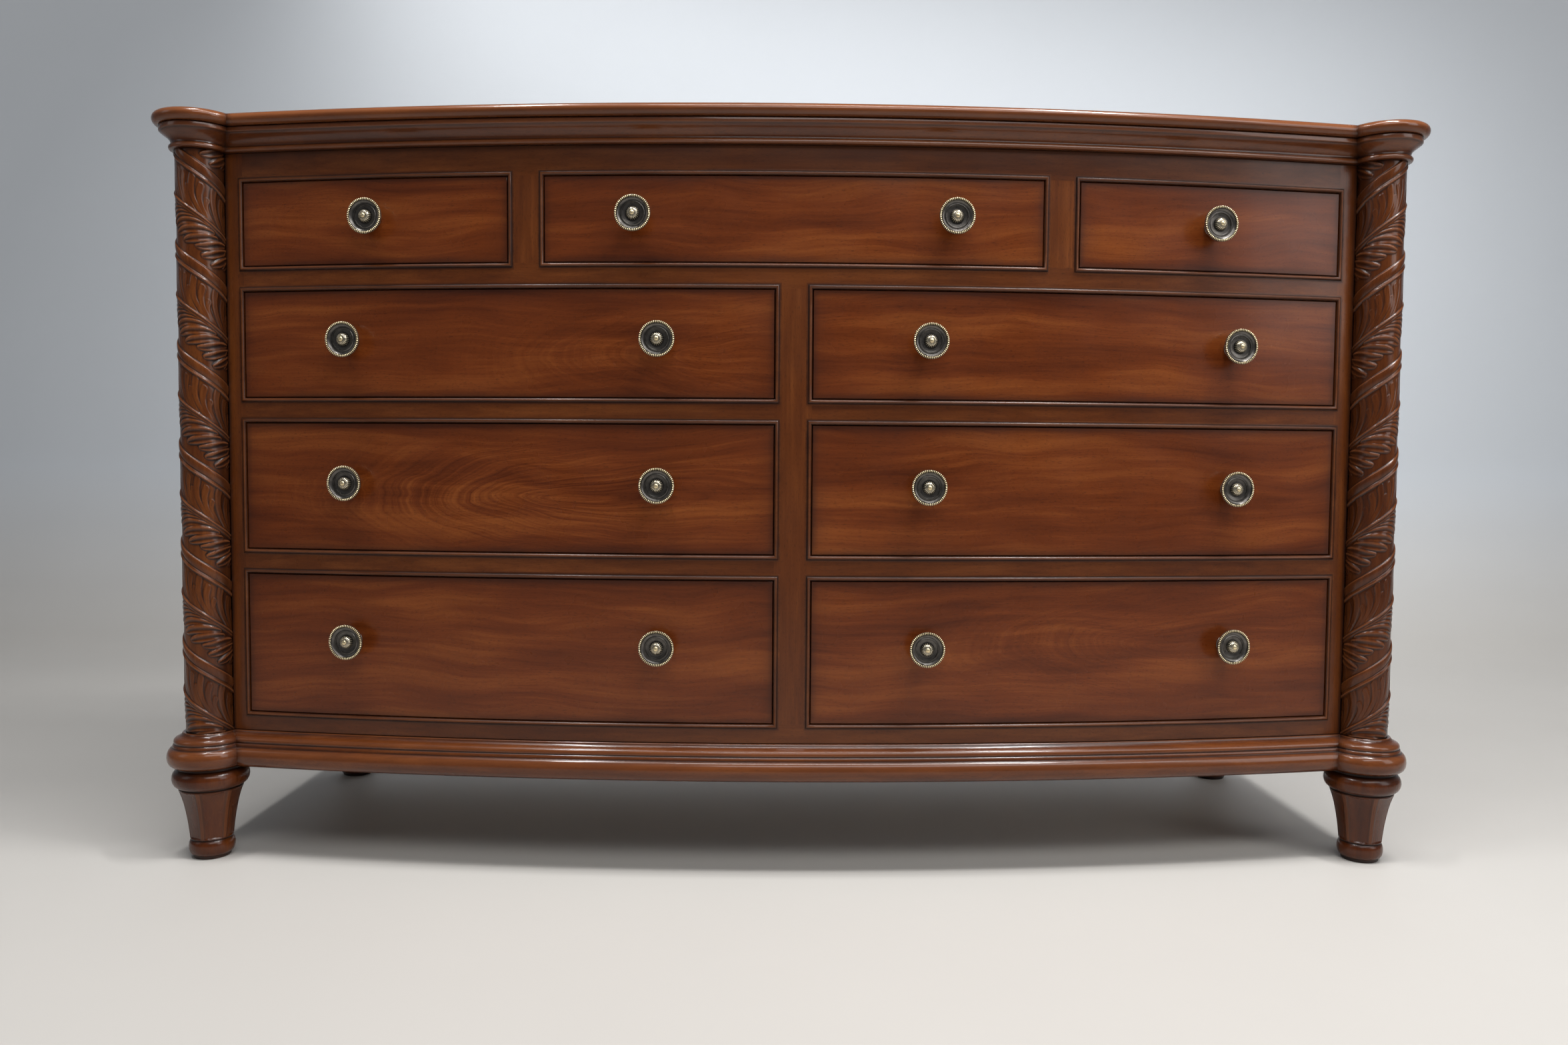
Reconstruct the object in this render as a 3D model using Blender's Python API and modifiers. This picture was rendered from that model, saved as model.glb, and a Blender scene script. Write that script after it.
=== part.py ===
# Bow-front chest of nine drawers with carved corner columns
# Metres, +Z up, front faces -Y, origin on the floor under the middle of the overall box

import math

import bmesh
import bpy
from mathutils import Vector

# Overall sizes
DEPTH = 0.600
HEIGHT = 1.0555

# Face plan
OPEN_HALF = 0.780
BOW = 0.071
TOP_STILE_SHARE = 0.5045
TOP_STILE_W = 0.0495
CENTRE_STILE_HALF = 0.0254

# Column, and the round ears of the mouldings over and under it
POST_W = 0.060
EAR_R = 0.0316
COL_R = 0.0340
COL_PROUD = 0.008
COL_RELIEF = 0.0022
TWIST_PITCH = 0.1402
TWIST_FACING = math.radians(63)
TWIST_DROP = 0.0308
TWIST_STEP = 2 * math.pi / 14
STRAP_ANGLE = 0.50
STRAP_CREST_ANGLE = 0.30
CORE_STEPS = 8

# Heights from the floor up
FOOT_H = 0.134
BASE_H = 0.0505
BOTTOM_RAIL_H = 0.0268
ROW_SHARES = (0.1821, 0.2311, 0.2777, 0.3091)
RAIL_H = 0.0345
FRIEZE_H = 0.0403
CORNICE_H = 0.0322
TOP_T = 0.0175

# Moulding sections as shares of the outward reach and of the height
CORNICE_OUT = 0.0205
CORNICE_SHARES = ((0.0, 0.0), (0.400, 0.030), (0.430, 0.150), (0.290, 0.235), (0.280, 0.300),
                  (0.340, 0.420), (0.580, 0.560), (0.880, 0.700), (1.0, 0.760), (1.0, 1.0))
BASE_OUT = 0.0255
BASE_SHARES = ((0.549, 0.0), (0.882, 0.059), (1.0, 0.198), (1.0, 0.376), (0.800, 0.530),
               (0.690, 0.600), (0.620, 0.680), (0.590, 0.770), (0.270, 0.880), (0.150, 1.0))
NOSE_OUT = 0.029
NOSE_FLAT = 0.004

# Panels and frame members
SIDE_T = 0.018
BACK_T = 0.008
STILE_T = 0.022
POST_D = 0.055
FRAME_W = 0.060
FRAME_BACK = 0.040
RAIL_CLEAR = 0.012
PARTITION_T = 0.018
DUST_T = 0.010
GUIDE_H = 0.0075
GUIDE_SINK = 0.004
WING_DROP = 0.002
WEB_LAP = 0.006
BEAD_R = 0.0033
BEAD_SET = 0.0035

# Drawers
GAP = 0.0013
FRONT_T = 0.020
BOX_SIDE = 0.002
BOX_WALL = 0.012
BOX_FLOOR = 0.008
BOX_CLEAR = 0.0006
BOX_TOP_GAP = 0.016
BOX_BACK_GAP = 0.030

# Knobs
KNOB_R = 0.0252
KNOB_OUT = 0.030
KNOB_RISE = (0.003, 0.004, 0.005, 0.008)
WIDE_KNOB_SHARE = 0.2792
KNOB_SHARES = ((0.0, 1.0), (0.270, 0.933), (0.389, 0.740), (0.8135, 0.883), (1.0, 0.850),
               (1.0, 0.733), (0.397, 0.500), (0.337, 0.117), (0.516, 0.0), (0.0, 0.0))

# Feet
FOOT_R = 0.0516
FOOT_INSET = 0.052
FOOT_SHARES = ((0.84, 1.0), (0.96, 0.935), (1.0, 0.870), (0.97, 0.810), (0.81, 0.765),
               (0.70, 0.620), (0.62, 0.420), (0.55, 0.210), (0.597, 0.150), (0.597, 0.090),
               (0.49, 0.030), (0.47, 0.0))

# Fitting clearance between pieces that rest together, and round the columns
FIT = 0.0003
POST_CLEAR = 0.0005

# How far fused blocks lap each other and cutters run past a face
LAP = 0.010
CUT_PAST = 0.010

# Facets
ARC_STEPS = 8
EAR_STEPS = 14
TURN_STEPS = 16
KNOB_STEPS = 12
HOLLOW_STEPS = 40

# Positions that follow from the sizes
COL_X = OPEN_HALF + POST_W
SIDE_X = COL_X
SMALL_DRAWER_EDGE = OPEN_HALF * TOP_STILE_SHARE
MIDDLE_DRAWER_EDGE = SMALL_DRAWER_EDGE - TOP_STILE_W
WIDE_KNOB_HALF = OPEN_HALF * WIDE_KNOB_SHARE
NOSE_R = TOP_T / 2 - 0.0001
ARC_R = (OPEN_HALF ** 2 + BOW ** 2) / (2 * BOW)
BACK_Y = DEPTH / 2
FACE_Y = -DEPTH / 2 + NOSE_OUT + BOW
ARC_Y = FACE_Y - BOW + ARC_R
BASE_TOP = FOOT_H + BASE_H
TOP_UNDER = HEIGHT - TOP_T
CORNICE_UNDER = TOP_UNDER - CORNICE_H
TWIST_Z = CORNICE_UNDER - TWIST_DROP
BEAD_W = BEAD_SET + BEAD_R
HOLLOW_X = SIDE_X - FRAME_W
HOLLOW_FRONT = FACE_Y + FRAME_W
HOLLOW_BACK = BACK_Y - FRAME_BACK
PANEL_FRONT = HOLLOW_FRONT - RAIL_CLEAR
INSIDE_X = SIDE_X - SIDE_T - FIT
BACK_FACE = BACK_Y - BACK_T - FIT
TOP_SPANS = ((-OPEN_HALF, -SMALL_DRAWER_EDGE), (-MIDDLE_DRAWER_EDGE, MIDDLE_DRAWER_EDGE),
             (SMALL_DRAWER_EDGE, OPEN_HALF))
SIDE_SPANS = ((-OPEN_HALF, -CENTRE_STILE_HALF), (CENTRE_STILE_HALF, OPEN_HALF))


def face_y(x, back=0.0):
    r = ARC_R - back
    return ARC_Y - math.sqrt(r * r - x * x)


COL_Y = face_y(COL_X) - COL_PROUD
POST_BACK = COL_Y + POST_D


def row_spans():
    """Each row's lower and upper edge; the rows share the height the frame leaves."""
    spans = []
    top = CORNICE_UNDER - FRIEZE_H
    room = top - BASE_TOP - BOTTOM_RAIL_H - 3 * RAIL_H
    for share in ROW_SHARES:
        height = room * share
        spans.append((top - height, top))
        top -= height + RAIL_H
    return spans


ROWS = row_spans()
BOTTOM_RAIL_TOP = ROWS[3][0]

# Scene set-up
for old in list(bpy.data.objects):
    bpy.data.objects.remove(old)

PARTS = bpy.data.collections.new("dresser")
CUTTERS = bpy.data.collections.new("cutters")
bpy.context.scene.collection.children.link(PARTS)
bpy.context.scene.collection.children.link(CUTTERS)

WOOD = (0.20, 0.062, 0.026, 1.0)
DARK_WOOD = (0.13, 0.040, 0.018, 1.0)
PALE_WOOD = (0.56, 0.40, 0.24, 1.0)
BRASS = (0.42, 0.29, 0.13, 1.0)


def material(name, colour, rough=0.35, metal=0.0):
    mat = bpy.data.materials.new(name)
    mat.use_nodes = True
    node = mat.node_tree.nodes["Principled BSDF"]
    node.inputs["Base Color"].default_value = colour
    node.inputs["Roughness"].default_value = rough
    node.inputs["Metallic"].default_value = metal
    mat.diffuse_color = colour
    return mat


def add_part(name, mesh, mat):
    obj = bpy.data.objects.new(name, mesh)
    mesh.name = name
    mesh.materials.clear()
    mesh.materials.append(mat)
    PARTS.objects.link(obj)
    return obj


def add_cutter(name, mesh):
    obj = bpy.data.objects.new(name, mesh)
    CUTTERS.objects.link(obj)
    obj.hide_render = True
    obj.display_type = "WIRE"
    return obj


def mesh_from(bm, name, smooth=False):
    bmesh.ops.recalc_face_normals(bm, faces=bm.faces)
    mesh = bpy.data.meshes.new(name)
    bm.to_mesh(mesh)
    bm.free()
    for poly in mesh.polygons:
        poly.use_smooth = smooth
    return mesh


def mesh_from_curve(curve):
    obj = bpy.data.objects.new(curve.name, curve)
    CUTTERS.objects.link(obj)
    graph = bpy.context.evaluated_depsgraph_get()
    mesh = bpy.data.meshes.new_from_object(obj.evaluated_get(graph))
    bpy.data.objects.remove(obj)
    bm = bmesh.new()
    bm.from_mesh(mesh)
    bmesh.ops.remove_doubles(bm, verts=bm.verts, dist=1e-6)
    bmesh.ops.recalc_face_normals(bm, faces=bm.faces)
    bm.to_mesh(mesh)
    bm.free()
    return mesh


def plate(name, outline, z0, z1):
    """A flat outline filled and raised from z0 to z1."""
    curve = bpy.data.curves.new(name, "CURVE")
    curve.dimensions = "2D"
    curve.fill_mode = "BOTH"
    curve.extrude = (z1 - z0) / 2
    spline = curve.splines.new("POLY")
    spline.points.add(len(outline) - 1)
    for point, (x, y) in zip(spline.points, outline):
        point.co = (x, y, 0.0, 1.0)
    spline.use_cyclic_u = True
    mesh = mesh_from_curve(curve)
    for vert in mesh.vertices:
        vert.co.z += (z0 + z1) / 2
    return mesh


def box(name, low, high):
    outline = [(low[0], low[1]), (high[0], low[1]), (high[0], high[1]), (low[0], high[1])]
    return plate(name, outline, low[2], high[2])


def tube(points):
    """A small round bead swept along the points, with filled ends."""
    curve = bpy.data.curves.new("bead", "CURVE")
    curve.dimensions = "3D"
    curve.bevel_depth = BEAD_R
    curve.bevel_resolution = 1
    curve.use_fill_caps = True
    spline = curve.splines.new("POLY")
    spline.points.add(len(points) - 1)
    for point, co in zip(spline.points, points):
        point.co = (co[0], co[1], co[2], 1.0)
    return mesh_from_curve(curve)


def joined(name, meshes):
    bm = bmesh.new()
    for mesh in meshes:
        bm.from_mesh(mesh)
    return mesh_from(bm, name)


def boolean(obj, mesh, operation):
    cutter = add_cutter(obj.name + "_" + operation.lower(), mesh)
    mod = obj.modifiers.new(operation.lower(), "BOOLEAN")
    mod.operation = operation
    mod.solver = "EXACT"
    mod.object = cutter
    return mod


def arc_points(x0, x1, steps=ARC_STEPS, back=0.0):
    points = []
    for i in range(steps + 1):
        x = x0 + (x1 - x0) * i / steps
        points.append((x, face_y(x, back)))
    return points


def lathe(name, section, steps, mat):
    """A turned piece from its half section, given from the top down."""
    mesh = bpy.data.meshes.new(name)
    edges = [(i, i + 1) for i in range(len(section) - 1)]
    mesh.from_pydata([(r, 0.0, z) for r, z in section], edges, [])
    obj = add_part(name, mesh, mat)
    mod = obj.modifiers.new("turn", "SCREW")
    mod.angle = 2 * math.pi
    mod.steps = steps
    mod.render_steps = steps
    mod.use_merge_vertices = True
    mod.merge_threshold = 0.0001
    mod.use_smooth_shade = True
    return obj


def loft(name, rings):
    """Joins rings that have the same count of points but unlike shapes."""
    bm = bmesh.new()
    layers = [[bm.verts.new(co) for co in ring] for ring in rings]
    count = len(layers[0])
    for low, high in zip(layers, layers[1:]):
        for i in range(count):
            j = (i + 1) % count
            bm.faces.new((low[i], low[j], high[j], high[i]))
    bm.faces.new(list(reversed(layers[0])))
    bm.faces.new(layers[-1])
    return mesh_from(bm, name)


# Case outline with a round ear at each front corner, grown outward by a reach
def valley(reach):
    r0 = ARC_R + reach
    r1 = EAR_R + reach
    dx, dy = COL_X, COL_Y - ARC_Y
    dist = math.hypot(dx, dy)
    along = (r0 * r0 - r1 * r1 + dist * dist) / (2 * dist)
    off = math.sqrt(r0 * r0 - along * along)
    ux, uy = dx / dist, dy / dist
    ends = [(ux * along - uy * off * s, ARC_Y + uy * along + ux * off * s) for s in (-1, 1)]
    return min(ends)


def case_outline(reach):
    vx, vy = valley(reach)
    r = EAR_R + reach
    a0 = math.atan2(vy - COL_Y, vx - COL_X)
    if a0 > 0:
        a0 -= 2 * math.pi
    a1 = math.acos(reach / r)
    front = []
    steps = ARC_STEPS * 2
    for i in range(1, steps):
        x = -vx + 2 * vx * i / steps
        front.append((x, ARC_Y - math.sqrt((ARC_R + reach) ** 2 - x * x)))
    ear = []
    for i in range(EAR_STEPS + 1):
        a = a0 + (a1 - a0) * i / EAR_STEPS
        ear.append((COL_X + r * math.cos(a), COL_Y + r * math.sin(a)))
    back = [(SIDE_X + reach, BACK_Y)]
    half = ear + back
    mirror = [(-x, y) for x, y in reversed(half)]
    return front + half + mirror


def moulded(name, section, z0):
    rings = []
    for reach, up in section:
        rings.append([(x, y, z0 + up) for x, y in case_outline(reach)])
    return loft(name, rings)


# Top and mouldings
def nose_section():
    mid = TOP_T / 2
    centre = NOSE_OUT - NOSE_R
    section = [(centre - NOSE_FLAT, 0.0)]
    for deg in (-80, -45, 0, 45, 80):
        a = math.radians(deg)
        section.append((centre + NOSE_R * math.cos(a), mid + NOSE_R * math.sin(a)))
    section.append((centre - NOSE_FLAT, TOP_T))
    return section


def make_top():
    add_part("top_board", moulded("top_board", nose_section(), TOP_UNDER + FIT),
             material("top_board_wood", WOOD, 0.22))


def scaled(shape, reach, height):
    return [(out * reach, up * height) for out, up in shape]


def make_cornice():
    section = scaled(CORNICE_SHARES, CORNICE_OUT, CORNICE_H)
    obj = add_part("cornice_frame", moulded("cornice_frame", section, CORNICE_UNDER),
                   material("cornice_wood", WOOD, 0.28))
    boolean(obj, box("hollow", (-HOLLOW_X, HOLLOW_FRONT, CORNICE_UNDER - CUT_PAST),
                     (HOLLOW_X, HOLLOW_BACK, TOP_UNDER + CUT_PAST)), "DIFFERENCE")


def make_base():
    section = scaled(BASE_SHARES, BASE_OUT, BASE_H - FIT)
    obj = add_part("base_frame", moulded("base_frame", section, FOOT_H),
                   material("base_wood", WOOD, 0.28))
    boolean(obj, box("hollow", (-HOLLOW_X, HOLLOW_FRONT, FOOT_H - CUT_PAST),
                     (HOLLOW_X, HOLLOW_BACK, BASE_TOP + CUT_PAST)), "DIFFERENCE")


# Twisted column: a round section with one raised strap, turned as it rises
def column_section():
    core = COL_R - COL_RELIEF
    points = [(-STRAP_ANGLE, core), (-STRAP_CREST_ANGLE, COL_R),
              (STRAP_CREST_ANGLE, COL_R), (STRAP_ANGLE, core)]
    free = 2 * (math.pi - STRAP_ANGLE)
    for i in range(1, CORE_STEPS):
        points.append((STRAP_ANGLE + free * i / CORE_STEPS, core))
    return points


def make_column(name, side):
    """The right column mirrors the left one, so the two straps wind opposite ways."""
    z0 = BASE_TOP + FIT
    z1 = CORNICE_UNDER - FIT
    rise = TWIST_PITCH * TWIST_STEP / (2 * math.pi)
    levels = max(2, round((z1 - z0) / rise))
    rings = []
    for i in range(levels + 1):
        z = z0 + (z1 - z0) * i / levels
        turn = -TWIST_FACING - 2 * math.pi * (z - TWIST_Z) / TWIST_PITCH
        ring = []
        for a, r in column_section():
            inward = r * math.cos(turn + a)
            ring.append((side * (COL_X - inward), COL_Y + r * math.sin(turn + a), z))
        rings.append(ring)
    mesh = loft(name, rings)
    for poly in mesh.polygons:
        poly.use_smooth = len(poly.vertices) == 4
    add_part(name, mesh, material(name + "_wood", WOOD, 0.25))


# Turned feet
def foot_section():
    top = FOOT_H - FIT
    return [(0.0, top)] + scaled(FOOT_SHARES, FOOT_R, top) + [(0.0, 0.0)]


def make_feet():
    rear_y = BACK_Y - FOOT_INSET
    places = (("foot_front_left", -COL_X, COL_Y), ("foot_front_right", COL_X, COL_Y),
              ("foot_rear_left", FOOT_INSET - SIDE_X, rear_y),
              ("foot_rear_right", SIDE_X - FOOT_INSET, rear_y))
    for name, x, y in places:
        obj = lathe(name, foot_section(), TURN_STEPS, material(name + "_wood", DARK_WOOD, 0.3))
        obj.location = (x, y, 0.0)


# Beads around the drawer openings
def upright_bead(x, z0, z1):
    y = face_y(x)
    return tube([(x, y, z0), (x, y, z1)])


def level_bead(x0, x1, z):
    return tube([(x, y, z) for x, y in arc_points(x0, x1)])


# Front corner posts, hollowed for the round columns
def make_post(name, side):
    outline = [(OPEN_HALF, face_y(OPEN_HALF)), (SIDE_X, face_y(SIDE_X)), (SIDE_X, POST_BACK),
               (OPEN_HALF, POST_BACK)]
    outline = [(side * x, y) for x, y in outline]
    obj = add_part(name, plate(name, outline, BASE_TOP + FIT, CORNICE_UNDER - FIT),
                   material(name + "_wood", WOOD, 0.3))
    boolean(obj, cylinder(side * COL_X, COL_Y, COL_R + POST_CLEAR, BASE_TOP - CUT_PAST,
                          CORNICE_UNDER + CUT_PAST), "DIFFERENCE")
    x = side * (OPEN_HALF + BEAD_SET)
    beads = [upright_bead(x, z0 - BEAD_W, z1 + BEAD_W) for z0, z1 in ROWS]
    boolean(obj, joined(name + "_beads", beads), "UNION")


def cylinder(x, y, r, z0, z1):
    bm = bmesh.new()
    bmesh.ops.create_cone(bm, cap_ends=True, segments=HOLLOW_STEPS, radius1=r, radius2=r, depth=z1 - z0)
    bmesh.ops.translate(bm, verts=bm.verts, vec=Vector((x, y, (z0 + z1) / 2)))
    return mesh_from(bm, "round")


# Rails
def rail_mesh(name, x0, x1, z0, z1):
    outline = arc_points(x0, x1, ARC_STEPS * 2 if x0 < 0 < x1 else ARC_STEPS)
    outline += [(x1, PANEL_FRONT), (x0, PANEL_FRONT)]
    return plate(name, outline, z0, z1)


def bead_row(spans, z, run_on=True):
    beads = []
    for x0, x1 in spans:
        low = x0 + FIT if x0 == -OPEN_HALF or not run_on else x0 - BEAD_W
        high = x1 - FIT if x1 == OPEN_HALF or not run_on else x1 + BEAD_W
        beads.append(level_bead(low, high, z))
    return beads


def make_top_rail():
    z0, z1 = CORNICE_UNDER - FRIEZE_H, CORNICE_UNDER - FIT
    obj = add_part("top_rail", rail_mesh("top_rail", FIT - OPEN_HALF, OPEN_HALF - FIT, z0, z1),
                   material("top_rail_wood", WOOD, 0.3))
    boolean(obj, joined("top_rail_beads", bead_row(TOP_SPANS, z0 + BEAD_SET)), "UNION")


def make_bottom_rail():
    z0, z1 = BASE_TOP + FIT, BOTTOM_RAIL_TOP
    obj = add_part("bottom_rail", rail_mesh("bottom_rail", FIT - OPEN_HALF, OPEN_HALF - FIT, z0, z1),
                   material("bottom_rail_wood", WOOD, 0.3))
    boolean(obj, joined("bottom_rail_beads", bead_row(SIDE_SPANS, z1 - BEAD_SET)), "UNION")


# Boards the drawers slide on, with side guides
def guides(spans, z):
    parts = []
    for x0, x1 in spans:
        parts.append(box("guide", (x0, POST_BACK + GUIDE_SINK, z - GUIDE_SINK),
                         (x1, BACK_FACE, z + GUIDE_H)))
    return parts


def make_bottom_board():
    z0, z1 = BASE_TOP + FIT, BOTTOM_RAIL_TOP
    mesh = box("bottom_board", (-OPEN_HALF + FIT, PANEL_FRONT + FIT, z0), (OPEN_HALF - FIT, BACK_FACE, z1))
    obj = add_part("bottom_board", mesh, material("bottom_board_wood", PALE_WOOD, 0.6))
    wing = POST_BACK + FIT
    blocks = [box("wing", (-INSIDE_X, wing, z0), (INSIDE_X, BACK_FACE, z1 - WING_DROP))]
    inner = CENTRE_STILE_HALF - FIT
    blocks += guides(((-INSIDE_X, -OPEN_HALF), (-inner, -PARTITION_T / 2 - FIT),
                      (PARTITION_T / 2 + FIT, inner), (OPEN_HALF, INSIDE_X)), z1)
    boolean_each(obj, blocks)


def boolean_each(obj, meshes):
    for mesh in meshes:
        boolean(obj, mesh, "UNION")


def make_top_dust_frame():
    """The full-width rail and board under the top row."""
    z0, z1 = ROWS[1][1], ROWS[0][0]
    obj = add_part("dust_frame_top", rail_mesh("dust_frame_top", FIT - OPEN_HALF, OPEN_HALF - FIT, z0, z1),
                   material("dust_frame_top_wood", WOOD, 0.32))
    blocks = [box("board", (-INSIDE_X, POST_BACK + FIT, z1 - DUST_T), (INSIDE_X, BACK_FACE, z1)),
              box("lap", (LAP - OPEN_HALF, PANEL_FRONT - LAP, z1 - DUST_T),
                  (OPEN_HALF - LAP, POST_BACK + LAP, z1))]
    div = (SMALL_DRAWER_EDGE + MIDDLE_DRAWER_EDGE) / 2
    half = PARTITION_T / 2 + FIT
    spans = [(-INSIDE_X, -OPEN_HALF), (OPEN_HALF, INSIDE_X)]
    for side in (-1, 1):
        for a, b in ((MIDDLE_DRAWER_EDGE + FIT, div - half), (div + half, SMALL_DRAWER_EDGE - FIT)):
            spans.append((min(side * a, side * b), max(side * a, side * b)))
    blocks += guides(spans, z1)
    boolean_each(obj, blocks)
    beads = bead_row(TOP_SPANS, z1 - BEAD_SET) + bead_row(SIDE_SPANS, z0 + BEAD_SET)
    boolean(obj, joined("dust_top_beads", beads), "UNION")


def make_dust_frame(name, side, row):
    """A half-width rail and board under one drawer of the given row."""
    z0, z1 = ROWS[row + 1][1], ROWS[row][0]
    x0, x1 = CENTRE_STILE_HALF + FIT, OPEN_HALF - FIT
    span = (x0, x1) if side > 0 else (-x1, -x0)
    obj = add_part(name, rail_mesh(name, span[0], span[1], z0, z1),
                   material(name + "_wood", WOOD, 0.32))
    inner = PARTITION_T / 2 + FIT
    board = sorted((side * inner, side * INSIDE_X))
    lap = sorted((side * (x0 + LAP), side * (x1 - LAP)))
    blocks = [box("board", (board[0], POST_BACK + FIT, z1 - DUST_T), (board[1], BACK_FACE, z1)),
              box("lap", (lap[0], PANEL_FRONT - LAP, z1 - DUST_T), (lap[1], POST_BACK + LAP, z1))]
    pairs = ((inner, CENTRE_STILE_HALF - FIT), (OPEN_HALF, INSIDE_X))
    blocks += guides([tuple(sorted((side * a, side * b))) for a, b in pairs], z1)
    boolean_each(obj, blocks)
    spans = ((span[0], span[1]),)
    beads = bead_row(spans, z1 - BEAD_SET, False) + bead_row(spans, z0 + BEAD_SET, False)
    boolean(obj, joined(name + "_beads", beads), "UNION")


# Upright dividers with their face stiles
def make_divider(name, x0, x1, z0, z1, bead_spans, base):
    centre = (x0 + x1) / 2
    stile = arc_points(x0, x1, 2)
    back = face_y(centre) + STILE_T
    stile += [(x1, back), (x0, back)]
    obj = add_part(name, plate(name, stile, z0, z1), material(name + "_wood", WOOD, 0.3))
    half = PARTITION_T / 2
    blocks = [box("web", (centre - half, back - WEB_LAP, base), (centre + half, BACK_FACE, z1))]
    boolean_each(obj, blocks)
    beads = []
    for low, high in bead_spans:
        for x in (x0 + BEAD_SET, x1 - BEAD_SET):
            beads.append(upright_bead(x, low, high))
    boolean(obj, joined(name + "_beads", beads), "UNION")


def make_dividers():
    z0, z1 = BOTTOM_RAIL_TOP + FIT, ROWS[1][1] - FIT
    spans = [(ROWS[3][0] + FIT, ROWS[3][1] + BEAD_W), (ROWS[2][0] - BEAD_W, ROWS[2][1] + BEAD_W),
             (ROWS[1][0] - BEAD_W, ROWS[1][1] - FIT)]
    make_divider("centre_divider", -CENTRE_STILE_HALF, CENTRE_STILE_HALF, z0, z1, spans, z0)
    low, high = ROWS[0][0] + FIT, ROWS[0][1] - FIT
    for side, word in ((-1, "left"), (1, "right")):
        x0, x1 = sorted((side * MIDDLE_DRAWER_EDGE, side * SMALL_DRAWER_EDGE))
        make_divider("top_divider_" + word, x0, x1, low, high, [(low, high)], low)


# Side and back panels
def make_panels():
    z0, z1 = BASE_TOP + FIT, CORNICE_UNDER - FIT
    for side, word in ((-1, "left"), (1, "right")):
        x0, x1 = sorted((side * (SIDE_X - SIDE_T), side * SIDE_X))
        name = "side_panel_" + word
        add_part(name, box(name, (x0, POST_BACK + FIT, z0), (x1, BACK_Y, z1)),
                 material(name + "_wood", WOOD, 0.3))
    add_part("back_panel", box("back_panel", (-INSIDE_X, BACK_Y - BACK_T, z0), (INSIDE_X, BACK_Y, z1)),
             material("back_panel_wood", PALE_WOOD, 0.7))


# Drawers
def make_front(name, x0, x1, z0, z1):
    a, b = x0 + GAP, x1 - GAP
    outline = arc_points(a, b) + list(reversed(arc_points(a, b, back=FRONT_T)))
    return add_part(name, plate(name, outline, z0 + GAP, z1 - GAP), material(name + "_wood", WOOD, 0.3))


def make_box(name, x0, x1, z0, z1):
    a, b = x0 + BOX_SIDE, x1 - BOX_SIDE
    end = BACK_FACE - BOX_BACK_GAP
    outline = arc_points(a, b, back=FRONT_T + BOX_CLEAR) + [(b, end), (a, end)]
    obj = add_part(name, plate(name, outline, z0 + FIT, z1 - BOX_TOP_GAP),
                   material(name + "_wood", PALE_WOOD, 0.5))
    front = min(face_y(a), face_y(b), face_y((a + b) / 2)) - CUT_PAST
    inner = box("inside", (a + BOX_WALL, front, z0 + FIT + BOX_FLOOR),
                (b - BOX_WALL, end - BOX_WALL, z1))
    boolean(obj, inner, "DIFFERENCE")
    return obj


def make_knob(name, x, z):
    mat = material(name + "_brass", BRASS, 0.35, 0.9)
    obj = lathe(name, scaled(KNOB_SHARES, KNOB_R, KNOB_OUT), KNOB_STEPS, mat)
    turn = math.asin(x / ARC_R)
    obj.rotation_euler = (math.pi / 2, 0.0, turn)
    obj.location = (x + FIT * math.sin(turn), face_y(x) - FIT * math.cos(turn), z)
    return obj


def make_drawer(word, span, row, knobs):
    x0, x1 = span
    z0, z1 = ROWS[row]
    mid = (x0 + x1) / 2
    pieces = [make_front("front_" + word, x0, x1, z0, z1), make_box("box_" + word, x0, x1, z0, z1)]
    z = (z0 + z1) / 2 + KNOB_RISE[row]
    for tag, dx in knobs:
        pieces.append(make_knob("knob_" + word + tag, mid + dx, z))
    empty = bpy.data.objects.new("drawer_" + word, None)
    empty.location = (mid, face_y(mid), (z0 + z1) / 2)
    PARTS.objects.link(empty)
    bpy.context.view_layer.update()
    for obj in pieces:
        obj.parent = empty
        obj.matrix_parent_inverse = empty.matrix_world.inverted()


def make_drawers():
    one = (("", 0.0),)
    pair = (("_a", -WIDE_KNOB_HALF), ("_b", WIDE_KNOB_HALF))
    make_drawer("top_left", TOP_SPANS[0], 0, one)
    make_drawer("top_middle", TOP_SPANS[1], 0, pair)
    make_drawer("top_right", TOP_SPANS[2], 0, one)
    for row, word in ((1, "upper"), (2, "middle"), (3, "lower")):
        make_drawer(word + "_left", SIDE_SPANS[0], row, pair)
        make_drawer(word + "_right", SIDE_SPANS[1], row, pair)


make_top()
make_cornice()
make_base()
make_column("column_left", -1)
make_column("column_right", 1)
make_feet()
make_post("post_left", -1)
make_post("post_right", 1)
make_top_rail()
make_bottom_rail()
make_bottom_board()
make_top_dust_frame()
for above, word_of_row in enumerate(("upper", "middle")):
    make_dust_frame("dust_frame_" + word_of_row + "_left", -1, above + 1)
    make_dust_frame("dust_frame_" + word_of_row + "_right", 1, above + 1)
make_dividers()
make_panels()
make_drawers()
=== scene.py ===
# Bow-front dresser with carved corner columns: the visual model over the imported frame

import math

import bmesh
import bpy
import numpy as np
from mathutils import Matrix, Vector


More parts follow.
